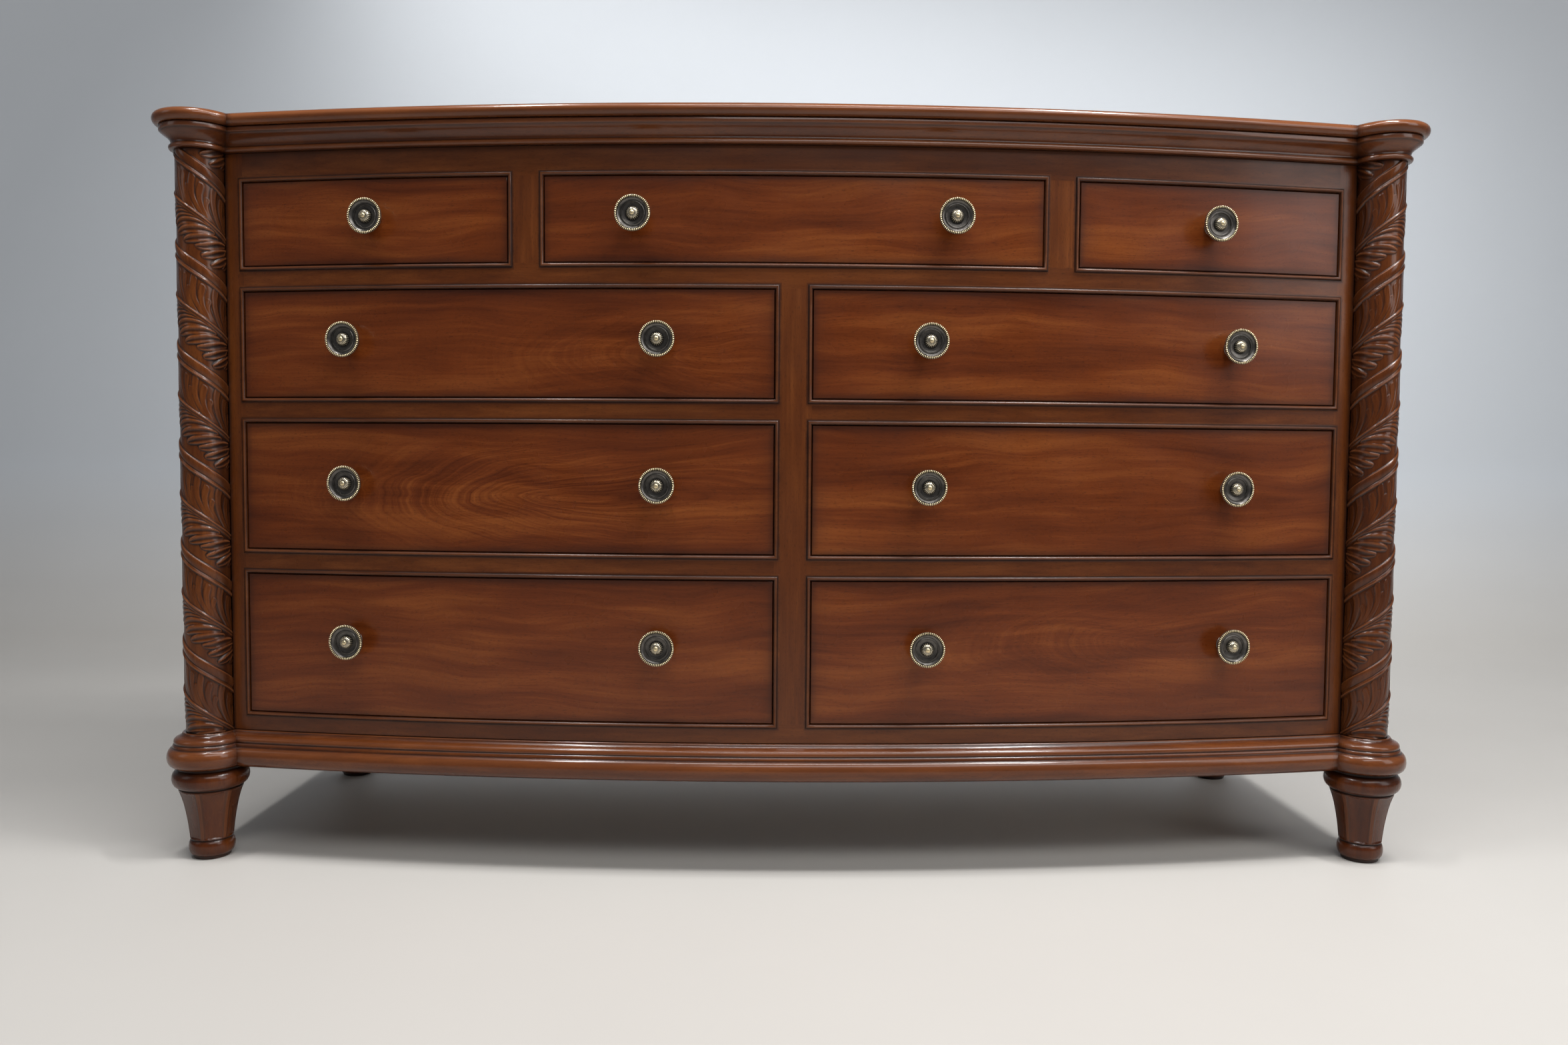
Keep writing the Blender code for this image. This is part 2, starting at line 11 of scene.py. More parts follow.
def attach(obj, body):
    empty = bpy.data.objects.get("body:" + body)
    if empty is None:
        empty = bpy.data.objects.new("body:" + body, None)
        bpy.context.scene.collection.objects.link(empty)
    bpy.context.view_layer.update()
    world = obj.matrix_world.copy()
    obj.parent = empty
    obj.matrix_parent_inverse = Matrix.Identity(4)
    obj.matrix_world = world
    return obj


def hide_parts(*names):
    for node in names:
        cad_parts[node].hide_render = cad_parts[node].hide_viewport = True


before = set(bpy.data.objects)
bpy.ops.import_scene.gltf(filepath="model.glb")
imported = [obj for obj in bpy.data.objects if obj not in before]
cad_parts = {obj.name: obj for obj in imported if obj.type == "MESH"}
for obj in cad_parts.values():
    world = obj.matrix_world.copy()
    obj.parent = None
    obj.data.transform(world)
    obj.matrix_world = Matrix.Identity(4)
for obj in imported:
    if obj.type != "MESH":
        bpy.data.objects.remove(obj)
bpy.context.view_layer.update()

# Sizes shared with the source of the part
DEPTH, HEIGHT = 0.6, 1.0555
OPEN_HALF, BOW, POST_W = 0.78, 0.071, 0.06
TOP_STILE_SHARE, TOP_STILE_W, CENTRE_HALF = 0.5045, 0.0495, 0.0254
COL_R, EAR_R, COL_PROUD = 0.034, 0.0316, 0.008
PITCH, FACING, TWIST_DROP = 0.1402, math.radians(63), 0.0308
FOOT_H, BASE_H, FRIEZE_H = 0.134, 0.0505, 0.0403
ROW_SHARES, RAIL_H, BOTTOM_RAIL_H = (0.1821, 0.2311, 0.2777, 0.3091), 0.0345, 0.0268
CORNICE_H, TOP_T = 0.0322, 0.0175
SIDE_T, BACK_T, STILE_T, POST_D = 0.018, 0.008, 0.022, 0.055
PARTITION_T, DUST_T, GUIDE_H = 0.018, 0.01, 0.0075
NOSE_OUT, FOOT_INSET, RAIL_DEPTH = 0.029, 0.052, 0.048
GAP, FRONT_T, FIT = 0.0013, 0.02, 0.0003
BOX_SIDE, BOX_WALL, BOX_FLOOR, BOX_TOP_GAP, BOX_BACK_GAP = 0.002, 0.012, 0.008, 0.016, 0.03
KNOB_RISE, KNOB_SHARE = (0.003, 0.004, 0.005, 0.008), 0.2792

COL_X = OPEN_HALF + POST_W
SIDE_X = COL_X
SMALL_IN = OPEN_HALF * TOP_STILE_SHARE
MIDDLE_OUT = SMALL_IN - TOP_STILE_W
WIDE_KNOB_HALF = OPEN_HALF * KNOB_SHARE
ARC_R = (OPEN_HALF ** 2 + BOW ** 2) / (2 * BOW)
BACK_Y = DEPTH / 2
FACE_Y = -DEPTH / 2 + NOSE_OUT + BOW
ARC_Y = FACE_Y - BOW + ARC_R
BASE_TOP = FOOT_H + BASE_H
TOP_UNDER = HEIGHT - TOP_T
CORNICE_UNDER = TOP_UNDER - CORNICE_H
TWIST_Z = CORNICE_UNDER - TWIST_DROP


def face_y(x, back=0):
    """Where the bowed face lies at x, set back towards the wall."""
    return ARC_Y - np.sqrt((ARC_R - back) ** 2 - np.square(x))


def metres(rows):
    """Rows whose first two values are lengths given in millimetres."""
    return tuple((a * 0.001, b * 0.001, *rest) for a, b, *rest in rows)


COL_Y = face_y(COL_X) - COL_PROUD
POST_BACK = COL_Y + POST_D
RAIL_BACK = FACE_Y + RAIL_DEPTH
INSIDE_X = SIDE_X - SIDE_T - FIT
BACK_FACE = BACK_Y - BACK_T - FIT


def row_spans():
    spans, top = [], CORNICE_UNDER - FRIEZE_H
    room = top - BASE_TOP - BOTTOM_RAIL_H - 3 * RAIL_H
    for share in ROW_SHARES:
        height = room * share
        spans.append((top - height, top))
        top -= height + RAIL_H
    return spans


ROWS = row_spans()
# Each drawer's place, the two sides of its opening, and its row from the top
OPENINGS = [("top_left", (-OPEN_HALF, -SMALL_IN), 0), ("top_middle", (-MIDDLE_OUT, MIDDLE_OUT), 0),
            ("top_right", (SMALL_IN, OPEN_HALF), 0)]
for _row, _word in enumerate(("upper", "middle", "lower"), 1):
    OPENINGS += [(_word + "_left", (-OPEN_HALF, -CENTRE_HALF), _row),
                 (_word + "_right", (CENTRE_HALF, OPEN_HALF), _row)]


def add_object(name, data):
    obj = bpy.data.objects.new(name, data)
    bpy.context.scene.collection.objects.link(obj)
    return obj


# Camera at the photograph's viewpoint
YAW, TILT, ROLL = 0.01128, -0.04961, 0.00706
FOCAL_PX, PHOTO_W, SENSOR_W = 1725.75, 2352, 36
EYE = (-0.02971, FACE_Y - 1.6557, 0.57154)


def make_camera():
    data = bpy.data.cameras.new("camera")
    data.sensor_fit, data.sensor_width = "HORIZONTAL", SENSOR_W
    data.lens = FOCAL_PX / PHOTO_W * SENSOR_W
    data.clip_start = 0.05
    cam = add_object("camera", data)
    cam.matrix_world = (Matrix.Translation(EYE) @ Matrix.Rotation(-YAW, 4, "Z")
                        @ Matrix.Rotation(math.pi / 2 + TILT, 4, "X")
                        @ Matrix.Rotation(ROLL, 4, "Z"))
    bpy.context.scene.camera = cam


make_camera()


# Node helpers. A mix node has sockets of the same name for numbers, vectors and colours: these are
# the places of its colours
MIX_A, MIX_B, MIX_RESULT = 6, 7, 2


class Graph:
    """Short calls for building the nodes of a material or the world."""

    def __init__(self, owner):
        owner.use_nodes = True
        self.owner = owner
        self.nodes, self.links = owner.node_tree.nodes, owner.node_tree.links
        self.bsdf = self.nodes.get("Principled BSDF")

    def put(self, socket, value):
        if isinstance(value, bpy.types.NodeSocket):
            self.links.new(value, socket)
        else:
            socket.default_value = value

    def new(self, kind, inputs=(), **props):
        node = self.nodes.new("ShaderNode" + kind)
        for key, value in props.items():
            setattr(node, key, value)
        for key, value in dict(inputs).items():
            self.put(node.inputs[key], value)
        return node

    def surface(self, **inputs):
        """Sets the surface's own inputs, by their names with _ for a space."""
        for key, value in inputs.items():
            self.put(self.bsdf.inputs[key.replace("_", " ")], value)

    def coords(self):
        return self.new("TexCoord").outputs["Object"]

    def attr(self, name, out="Fac"):
        return self.new("Attribute", attribute_name=name).outputs[out]

    def math(self, op, a, b=0, c=0, clamp=False):
        return self.new("Math", enumerate((a, b, c)), operation=op, use_clamp=clamp).outputs[0]

    def mul(self, a, b, clamp=False):
        return self.math("MULTIPLY", a, b, clamp=clamp)

    def add(self, first, *others):
        for other in others:
            first = self.math("ADD", first, other)
        return first

    def weigh(self, *pairs):
        """The sum of some values, each by its share."""
        return self.add(*(self.mul(value, share) for value, share in pairs))

    def vec(self, op, a, b):
        return self.new("VectorMath", enumerate((a, b)), operation=op).outputs[0]

    def scaled(self, vector, factors):
        return self.vec("MULTIPLY", vector, factors)

    def xyz(self, x, y, z):
        return self.new("CombineXYZ", enumerate((x, y, z))).outputs[0]

    def noise(self, vector, scale=1, detail=3, rough=0.5, distort=0):
        return self.new("TexNoise", {
            "Vector": vector, "Scale": scale, "Detail": detail, "Roughness": rough,
            "Distortion": distort}).outputs["Fac"]

    def ramp(self, fac, places, colours):
        node = self.new("ValToRGB", {"Fac": fac})
        elements = node.color_ramp.elements
        while len(elements) < len(places):
            elements.new(0.5)
        for element, place, colour in zip(elements, places, colours):
            element.position, element.color = place, (*colour, 1)
        return node.outputs["Color"]

    def mix(self, fac, a, b, blend="MIX"):
        a, b = ((*value, 1) if isinstance(value, tuple) else value for value in (a, b))
        node = self.new("Mix", {0: fac, MIX_A: a, MIX_B: b}, data_type="RGBA", blend_type=blend)
        return node.outputs[MIX_RESULT]

    def remap(self, value, a, b, c, d):
        """Runs from c to d while the value runs from a to b."""
        return self.new("MapRange", enumerate((value, a, b, c, d))).outputs[0]

    def bump(self, height, strength, distance):
        return self.new("Bump", {"Height": height, "Strength": strength,
                                           "Distance": distance}).outputs["Normal"]


# Materials
MAHOGANY = ((0.058, 0.0128, 0.0024), (0.106, 0.0265, 0.0046), (0.176, 0.05, 0.01))
GLAZE_AND_SHADE = (0.012, 0.0036, 0.0018)
RUBBED_AND_HIGHLIT = (0.29, 0.1, 0.036)


def by_grain(grain, along, across):
    """Scales of a noise along the three axes, with its own along the grain."""
    return tuple(along if axis == grain else across for axis in "XYZ")


def lacquer(g, place, colour, grain, gloss, coat, coat_rough=0.12):
    """Pores, glaze and painted shade in the crevices and corners, rubbed edges with painted
    highlights, and a clear coat over a wood colour.
    """
    pores = g.noise(g.scaled(place, by_grain(grain, 150, 1100)), 1, 1)
    colour = g.mix(g.remap(pores, 0.58, 0.74, 0, 0.4), colour, GLAZE_AND_SHADE)
    cloud = g.noise(place, 14, 3, 0.6)
    # Painted shade from the dark attribute, with real glaze in the carved hollows
    dark = g.mul(g.attr("dark"), g.remap(cloud, 0.3, 0.7, 0.75, 1.12), clamp=True)
    colour = g.mix(dark, colour, GLAZE_AND_SHADE)
    # Rubbed wear and painted highlights from the wear attribute
    colour = g.mix(g.mul(g.attr("worn"), 0.5, clamp=True), colour, RUBBED_AND_HIGHLIT)
    rough = g.remap(cloud, 0.3, 0.7, gloss - 0.03, gloss + 0.05)
    g.surface(Base_Color=colour, Roughness=g.add(rough, g.mul(dark, 0.14)),
              Specular_IOR_Level=0.28, Coat_Weight=coat, Coat_Roughness=coat_rough)
    return pores


def seeded_place(g, shift, seed_x=3.7, seed_z=1.9):
    """Object coordinates, moved by each piece's seed so that no two have the same grain."""
    seed = g.attr("seed")
    return g.vec("ADD", g.coords(), g.xyz(g.mul(seed, seed_x), shift, g.mul(seed, seed_z)))


def mahogany(name, grain="X", tones=MAHOGANY, gloss=0.3, shift=0, coat=0.15, coat_rough=0.12):
    """Lacquered mahogany, with its grain along one axis."""
    g = Graph(bpy.data.materials.new("mahogany_" + name))
    place = seeded_place(g, shift)
    lie = g.scaled(place, by_grain(grain, 1, 9))
    broad = g.noise(lie, 1.6, 3, 0.55, 0.6)
    streak = g.noise(lie, 7.5, 5, 0.62, 0.3)
    fine = g.noise(g.scaled(place, by_grain(grain, 1, 81)), 3.2, 4, 0.65)
    tone = g.weigh((broad, 0.42), (streak, 0.38), (fine, 0.2))
    colour = g.ramp(tone, (0.34, 0.5, 0.67), tones)
    pores = lacquer(g, place, colour, grain, gloss, coat, coat_rough)
    g.surface(Normal=g.bump(g.weigh((fine, 0.5), (pores, -0.5)), 0.1, 0.0006))
    return g.owner


def veneer(name, tones, gloss=0.27):
    """Flat-cut veneer: long soft clouds, gently waving streaks and nested arches."""
    g = Graph(bpy.data.materials.new(name))
    place = seeded_place(g, 1.3)
    wave = g.remap(g.noise(g.scaled(place, (3.4, 3.4, 8)), 1, 2), 0.2, 0.8, -0.02, 0.02)
    bent = g.vec("ADD", place, g.xyz(0, 0, wave))
    cloud = g.noise(g.scaled(bent, (3.6, 3.6, 24)), 1, 2, 0.5)
    streak = g.noise(g.scaled(bent, (4.5, 4.5, 110)), 1, 3, 0.6)
    fine = g.noise(g.scaled(bent, (16, 16, 520)), 1, 3, 0.65)
    # The figure attribute holds the place from the arches' centre, with their strength in Y
    figure = g.new("SeparateXYZ", {"Vector": g.attr("figure", "Vector")}).outputs
    across = g.mul(g.add(figure["Z"], wave), 4.4)
    run = g.add(figure["X"], g.remap(cloud, 0.2, 0.8, -0.018, 0.018))
    length = g.math("SQRT", g.add(g.mul(run, run), g.add(g.mul(across, across), 0.0006)))
    arch = g.math("SUBTRACT", length, g.mul(run, 0.8))
    ripple = g.noise(g.xyz(g.mul(arch, 86), g.mul(run, 3), 0), 1, 3.5, 0.6)
    near = g.mul(g.remap(length, 0.1, 0.42, 1, 0), figure["Y"])
    rings = g.mul(g.math("SUBTRACT", ripple, 0.44), near)
    tone = g.add(g.weigh((cloud, 0.52), (streak, 0.3), (fine, 0.18)), rings)
    colour = g.ramp(tone, (0.34, 0.5, 0.68), tones)
    pores = lacquer(g, place, colour, "X", gloss, 0.12)
    g.surface(Normal=g.bump(g.weigh((fine, 0.4), (pores, -0.5)), 0.07, 0.0005))
    return g.owner


def pale_wood(name, grain="X", tint=(0.47, 0.315, 0.17)):
    """Unlacquered drawer lining."""
    g = Graph(bpy.data.materials.new(name))
    lie = g.scaled(seeded_place(g, 0, 2.3, 0), by_grain(grain, 1, 14))
    tone = g.weigh((g.noise(lie, 2.4, 4, 0.6, 0.8), 0.7), (g.noise(lie, 19, 4, 0.7), 0.3))
    tones = [tuple(share * v for v in tint) for share in (0.66, 1, 1.22)]
    colour = g.mix(g.mul(g.attr("dark"), 0.8, clamp=True),
                   g.ramp(tone, (0.32, 0.52, 0.7), tones), (0.1, 0.055, 0.026))
    g.surface(Base_Color=colour, Roughness=g.remap(tone, 0.3, 0.7, 0.52, 0.68),
              Normal=g.bump(tone, 0.12, 0.0008))
    return g.owner


def antique_brass():
    """Dark pewter dish, rubbed gold on the beads and button, and a paler boss."""
    g = Graph(bpy.data.materials.new("antique_brass"))
    place = g.coords()
    patch = g.noise(place, 220, 3, 0.6)
    worn = g.mul(g.attr("worn"), g.remap(patch, 0.3, 0.7, 0.8, 1.08), clamp=True)
    pewter = g.ramp(g.noise(place, 90, 4, 0.6), (0.35, 0.65),
                    ((0.112, 0.103, 0.094), (0.19, 0.176, 0.161)))
    gold = g.mix(g.attr("pale"), (0.92, 0.76, 0.47), (0.8, 0.74, 0.62))
    colour = g.mix(g.mul(g.attr("dark"), 0.92, clamp=True), g.mix(worn, pewter, gold),
                   (0.01, 0.008, 0.007))
    g.surface(Base_Color=colour, Metallic=0.94, Roughness=g.remap(patch, 0.3, 0.7, 0.26, 0.36),
              Normal=g.bump(patch, 0.12, 0.0002))
    return g.owner


RAIL = tuple(tuple(0.94 * v for v in c) for c in MAHOGANY)
FOOT_TONES = ((0.04, 0.008, 0.0014), (0.078, 0.017, 0.0026), (0.134, 0.0345, 0.006))
CARVED = ((0.044, 0.0094, 0.0019), (0.098, 0.0245, 0.0045), (0.185, 0.0545, 0.011))
MOULD = ((0.046, 0.0096, 0.0019), (0.098, 0.0235, 0.0043), (0.18, 0.05, 0.0098))
VENEER = ((0.074, 0.0138, 0.0024), (0.136, 0.0288, 0.0052), (0.23, 0.061, 0.012))
MAT = {
    "x": mahogany("lengthwise", "X", RAIL),
    "z": mahogany("upright", "Z", shift=4.1),
    "mould": mahogany("moulding", "X", MOULD, 0.22, 7.7, 0.34, 0.05),
    "carved": mahogany("carved", "Z", CARVED, 0.21, 2.2, 0.14),
    "foot": mahogany("foot", "Z", FOOT_TONES, 0.24, 5.3, 0.16, 0.08),
    "front": veneer("mahogany_veneer", VENEER),
    "side": mahogany("side", "Z", gloss=0.32, shift=9.1),
    "y": mahogany("end", "Y", gloss=0.32, shift=3.1),
    "pale_x": pale_wood("lining_lengthwise", "X"),
    "pale_y": pale_wood("lining_fore_and_aft", "Y"),
    "ply": pale_wood("back_board", "X", (0.36, 0.235, 0.125)),
    "brass": antique_brass(),
}


# Mesh helpers
SHARP = math.radians(35)


def attributes(mesh, **fields):
    """Stores a number or a vector per vertex under each name."""
    for name, values in fields.items():
        values = np.asarray(values, dtype=np.float32)
        kind, key = (("FLOAT", "value") if values.size == len(mesh.vertices)
                     else ("FLOAT_VECTOR", "vector"))
        mesh.attributes.new(name, kind, "POINT").data.foreach_set(key, values.reshape(-1))


def mesh_object(name, mesh, body, mat, replaced=(), seed=0):
    obj = add_object(name, mesh)
    if not mesh.materials:
        mesh.materials.append(MAT[mat])
    if "seed" not in mesh.attributes:
        attributes(mesh, seed=np.full(len(mesh.vertices), seed))
    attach(obj, body)
    if replaced:
        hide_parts(*replaced)
    return obj


def on_case(name, mesh, mat, *replaced, seed=0, slot="case_mahogany"):
    return mesh_object(name, mesh, "case", mat, replaced, seed)


def new_mesh(name, verts, faces, outward=True, round_off=0):
    """A mesh with its faces turned outward unless told otherwise, and rounded edges if asked."""
    mesh = bpy.data.meshes.new(name)
    mesh.from_pydata(np.asarray(verts, dtype=float).reshape(-1, 3).tolist(), [], faces)
    if outward:
        bm = bmesh.new()
        bm.from_mesh(mesh)
        bmesh.ops.recalc_face_normals(bm, faces=bm.faces)
        if round_off:
            edges = [e for e in bm.edges if e.calc_face_angle(0) > SHARP]
            bmesh.ops.bevel(bm, geom=edges, offset=round_off, segments=2, affect="EDGES",
                            profile=0.6, clamp_overlap=True)
        bm.to_mesh(mesh)
        bm.free()
    return mesh


def grid_quads(rows, cols, closed=True):
    """Quads between rows of equally many points, which follow each other."""
    i = np.arange(rows - 1)[:, None] * cols
    j = np.arange(cols if closed else cols - 1)[None, :]
    k = (j + 1) % cols
    return np.stack([i + j, i + k, i + cols + k, i + cols + j], -1).reshape(-1, 4)


def shade(mesh, angle=32):
    mesh.polygons.foreach_set("use_smooth", [True] * len(mesh.polygons))
    mesh.set_sharp_from_angle(angle=math.radians(angle))
    mesh.update()


def capped(count, width):
    """The quads of a grid, and a flat cap at each end."""
    ends = [range(width)[::-1], range((count - 1) * width, count * width)]
    return grid_quads(count, width).tolist() + ends


def spread(values, shape):
    """One value for each row of a grid, or for each point, as a run over all its points."""
    values = np.asarray(values, dtype=float).reshape(shape[0], -1)
    return np.broadcast_to(values, shape).reshape(-1)


def grid_mesh(name, rings, dark, worn, caps=True, angle=32):
    """A skin through rings of equally many points, closed by caps unless told otherwise."""
    shape = np.shape(rings)[:2]
    mesh = new_mesh(name, rings, capped(*shape) if caps else grid_quads(*shape).tolist())
    attributes(mesh, dark=spread(dark, shape), worn=spread(worn, shape))
    shade(mesh, angle)
    return mesh


def slab_mesh(name, outline, z0, z1, round_off=0):
    """A flat outline raised from z0 to z1, with its edges slightly rounded if asked."""
    verts = [(x, y, z) for z in (z0, z1) for x, y in outline]
    mesh = new_mesh(name, verts, capped(2, len(outline)), round_off=round_off)
    shade(mesh, 40)
    return mesh


def box_mesh(name, low, high, round_off=0.0006):
    (x0, y0, z0), (x1, y1, z1) = low, high
    return slab_mesh(name, [(x0, y0), (x1, y0), (x1, y1), (x0, y1)], z0, z1, round_off)


def arc(x0, x1, steps, back=0):
    """Points along the bowed face, or along the same bow set back."""
    xs = np.linspace(x0, x1, steps + 1)
    return list(zip(xs, face_y(xs, back)))


def turn_angles(steps):
    return np.linspace(0, 2 * math.pi, steps, endpoint=False)


def circle(r, z, angles):
    """Points at a radius, a height and some angles around the upright axis."""
    r = np.broadcast_to(np.maximum(r, 1e-5), angles.shape)
    return np.stack([r * np.cos(angles), r * np.sin(angles), np.broadcast_to(z, angles.shape)], -1)


def join(name, meshes):
    bm = bmesh.new()
    for mesh in meshes:
        bm.from_mesh(mesh)
    made = bpy.data.meshes.new(name)
    bm.to_mesh(made)
    bm.free()
    shade(made, 40)
    return made


# Moulded outline of the case, with a round ear at each front corner
# How far the painted shade in the mitre valleys reaches
MITRE_SHADE_REACH = 0.0035


def valley(reach):
    """Where the bow and the right ear meet, both standing out by the reach."""
    r0, r1 = ARC_R + reach, EAR_R + reach
    dx, dy = COL_X, COL_Y - ARC_Y
    dist = math.hypot(dx, dy)
    along = (r0 * r0 - r1 * r1 + dist * dist) / (2 * dist)
    off = math.sqrt(r0 * r0 - along * along)
    ux, uy = dx / dist, dy / dist
    return min((ux * along - uy * off * s, ARC_Y + uy * along + ux * off * s) for s in (-1, 1))


def case_outline(reach, front_steps=72, ear_steps=44):
    vx, vy = valley(reach)
    r = EAR_R + reach
    a0 = math.atan2(vy - COL_Y, vx - COL_X)
    a0 -= 2 * math.pi if a0 > 0 else 0
    a1 = math.acos(max(-1, min(1, reach / r)))
    t = np.linspace(-1, 1, front_steps + 1)[1:-1]
    # Points crowd towards the mitres, where the corner shading is tight
    xs = vx * np.sign(t) * (1 - (1 - np.abs(t)) ** 1.25)
    front = np.stack([xs, face_y(xs, -reach)], -1)
    angles = np.linspace(a0, a1, ear_steps + 1)
    ear = np.stack([COL_X + r * np.cos(angles), COL_Y + r * np.sin(angles)], -1)
    half = np.concatenate([ear, [[SIDE_X + reach, BACK_Y]]])
    return np.concatenate([front, half, half[::-1] * (-1, 1)])


def moulded_mesh(name, section, z0):
    """A section carried around the outline. Its rows are reach, height, painted shade, and wear
    with painted highlight.
    """
    rings, dark, worn = [], [], []
    for reach, up, shadow, rub_and_highlight in section:
        outline = case_outline(reach)
        rings.append(np.insert(outline, 2, z0 + up, axis=1))
        # Painted shade in the mitre valley where the bow meets each ear, kept clear of wear colour
        near = np.exp(-np.abs(np.abs(outline[:, 0]) - abs(valley(reach)[0])) / MITRE_SHADE_REACH)
        near *= outline[:, 1] < COL_Y + 0.02
        dark.append(np.clip(shadow + 0.55 * near, 0, 1))
        worn.append(np.clip(rub_and_highlight * (1 - near), 0, 1))
    return grid_mesh(name, rings, dark, worn)


# Painted shade under the nose, and more wear colour on its upper front, which also paints its
# highlight
NOSE = [(0.014, 0, 1, 0), (0.0185, 0.0004, 0.7, 0)]
for _deg in range(-80, 90, 16):
    _a = math.radians(_deg)
    NOSE.append((0.0203 + 0.0086 * math.cos(_a), TOP_T / 2 + 0.0085 * math.sin(_a),
                 0.25 if _deg < -50 else 0, 1 if 0 < _deg < 60 else 0.4))
NOSE.append((0.0165, TOP_T, 0, 0.1))

# In the cornice and base rows, dark is painted shade in the hollows and under the overhangs, and
# the wear values on the rounded faces also paint highlights
CORNICE = metres((
    (0.4, 0, 1, 0), (4.8, 0.1, 0.5, 0), (7.6, 1.2, 0.1, 0.2), (8.7, 3.4, 0, 0.5),
    (8.5, 5.4, 0, 0.5), (7.2, 7.1, 0.25, 0.1), (6.1, 7.8, 0.8, 0), (5.7, 8.5, 0.7, 0),
    (5.6, 9.8, 0.4, 0), (5.9, 11.7, 0.15, 0), (6.9, 14, 0.05, 0), (8.9, 16.5, 0, 0),
    (11.7, 19, 0, 0.1), (14.6, 21.1, 0, 0.1), (16.8, 22.7, 0.15, 0), (18.1, 24, 0.5, 0),
    (18.7, 24.7, 0.65, 0), (19.8, 25.3, 0.2, 0.3), (20.5, 26.2, 0, 0.4), (20.5, 30.3, 0.15, 0.1),
    (20, 31.9, 0.7, 0), (19, 32.2, 0.8, 0)))

BASE = metres((
    (12, 0, 0.9, 0), (19, 1.2, 0.4, 0), (22.8, 4.5, 0.1, 0), (24.9, 9.2, 0, 0.1),
    (25.5, 14.5, 0, 0.2), (25, 19.7, 0, 0.4), (23.4, 24, 0, 0.5), (20.9, 27.2, 0.1, 0.3),
    (19, 28.5, 0.6, 0), (18.1, 28.9, 0.9, 0), (17.8, 29.5, 0.7, 0), (17.7, 30.6, 0.2, 0.1),
    (17.1, 32.8, 0.1, 0.2), (16.2, 33.8, 0.6, 0), (15.5, 34.3, 1, 0), (15.5, 34.9, 0.9, 0),
    (16.1, 35.5, 0.3, 0.1), (16.3, 37.2, 0, 0.3), (15.7, 39.7, 0, 0.5), (13.8, 41.9, 0, 0.3),
    (11, 43.4, 0, 0.2), (8.4, 44.6, 0.1, 0.1), (6.4, 46.1, 0.2, 0), (5, 47.8, 0.4, 0),
    (4.4, 48.9, 0.6, 0), (4.2, 49.3, 0.1, 0.5), (3.6, 49.8, 0.3, 0.3), (0.8, 50.1, 1, 0)))

# The room inside the moulded frames
HOLLOW_X, HOLLOW_FRONT, HOLLOW_BACK = SIDE_X - 0.06, FACE_Y + 0.06, BACK_Y - 0.04


def cut_hollow(obj, z0, z1):
    """Opens the middle of a moulded frame and keeps its vertex data."""
    cutter = add_object("cutter", box_mesh("cutter", (-HOLLOW_X, HOLLOW_FRONT, z0),
                                           (HOLLOW_X, HOLLOW_BACK, z1), 0))
    mod = obj.modifiers.new("hollow", "BOOLEAN")
    mod.operation, mod.solver, mod.object = "DIFFERENCE", "EXACT", cutter
    bpy.context.view_layer.update()
    graph = bpy.context.evaluated_depsgraph_get()
    done = bpy.data.meshes.new_from_object(obj.evaluated_get(graph))
    obj.modifiers.clear()
    done.name = obj.data.name
    obj.data = done
    shade(done)
    bpy.data.objects.remove(cutter)


def make_mouldings():
    for name, section, z, top, node, seed in (
            ("top_board_shaped", NOSE, TOP_UNDER + FIT, None, "top_board", 0.3),
            ("cornice_shaped", CORNICE, CORNICE_UNDER, TOP_UNDER, "cornice_frame", 0.7),
            ("base_shaped", BASE, FOOT_H, BASE_TOP, "base_frame", 1.1)):
        obj = on_case(name, moulded_mesh(name, section, z), "mould", node, seed=seed)
        if top:
            cut_hollow(obj, z - 0.01, top + 0.01)


make_mouldings()


# Carving of the columns: one tile, half a turn wide and one pitch high. Places are in millimetres
# along the turn and down from the strap, as they lie on the left column
TILE_W = math.pi * 0.031
TILE_STEP, MAX_RELIEF = 0.00025, 3
TILE_SHIFT = np.array([48.7, -1])

# Flame lobes above the midrib: half width, height, then places from the tip to the stem
FLAMES = (
    (6, 1.6, (37.5, 16), (35.6, 30), (37, 44), (45.5, 57), (52, 63)),
    (5.6, 1.5, (48.6, 20.5), (45.8, 35), (47.8, 48), (55, 59), (61, 63)),
    (4.8, 1.4, (56, 35), (54, 44), (57, 53), (64, 61), (68, 63)),
    (6.4, 1.9, (65, 13.5), (63, 24), (63.2, 37), (67, 50), (74, 60), (79, 63)),
    (5.8, 1.5, (76, 20), (74.4, 34), (77, 47), (83, 59), (88, 63)),
    (4.8, 1.4, (85, 34), (84.2, 44), (87, 54), (93, 62)),
    (5.6, 1.55, (94.5, 17), (93, 30), (94.5, 45), (101, 58), (107, 63)),
    (5.6, 1.45, (14, 21), (14, 32), (17.5, 46), (24, 58), (30, 63)),
    (5.4, 1.5, (25, 21), (23.6, 33), (25.6, 47), (32, 58), (38, 63)),
    (4.4, 1.4, (30.5, 34), (30.4, 45), (35.5, 56), (42, 63)))

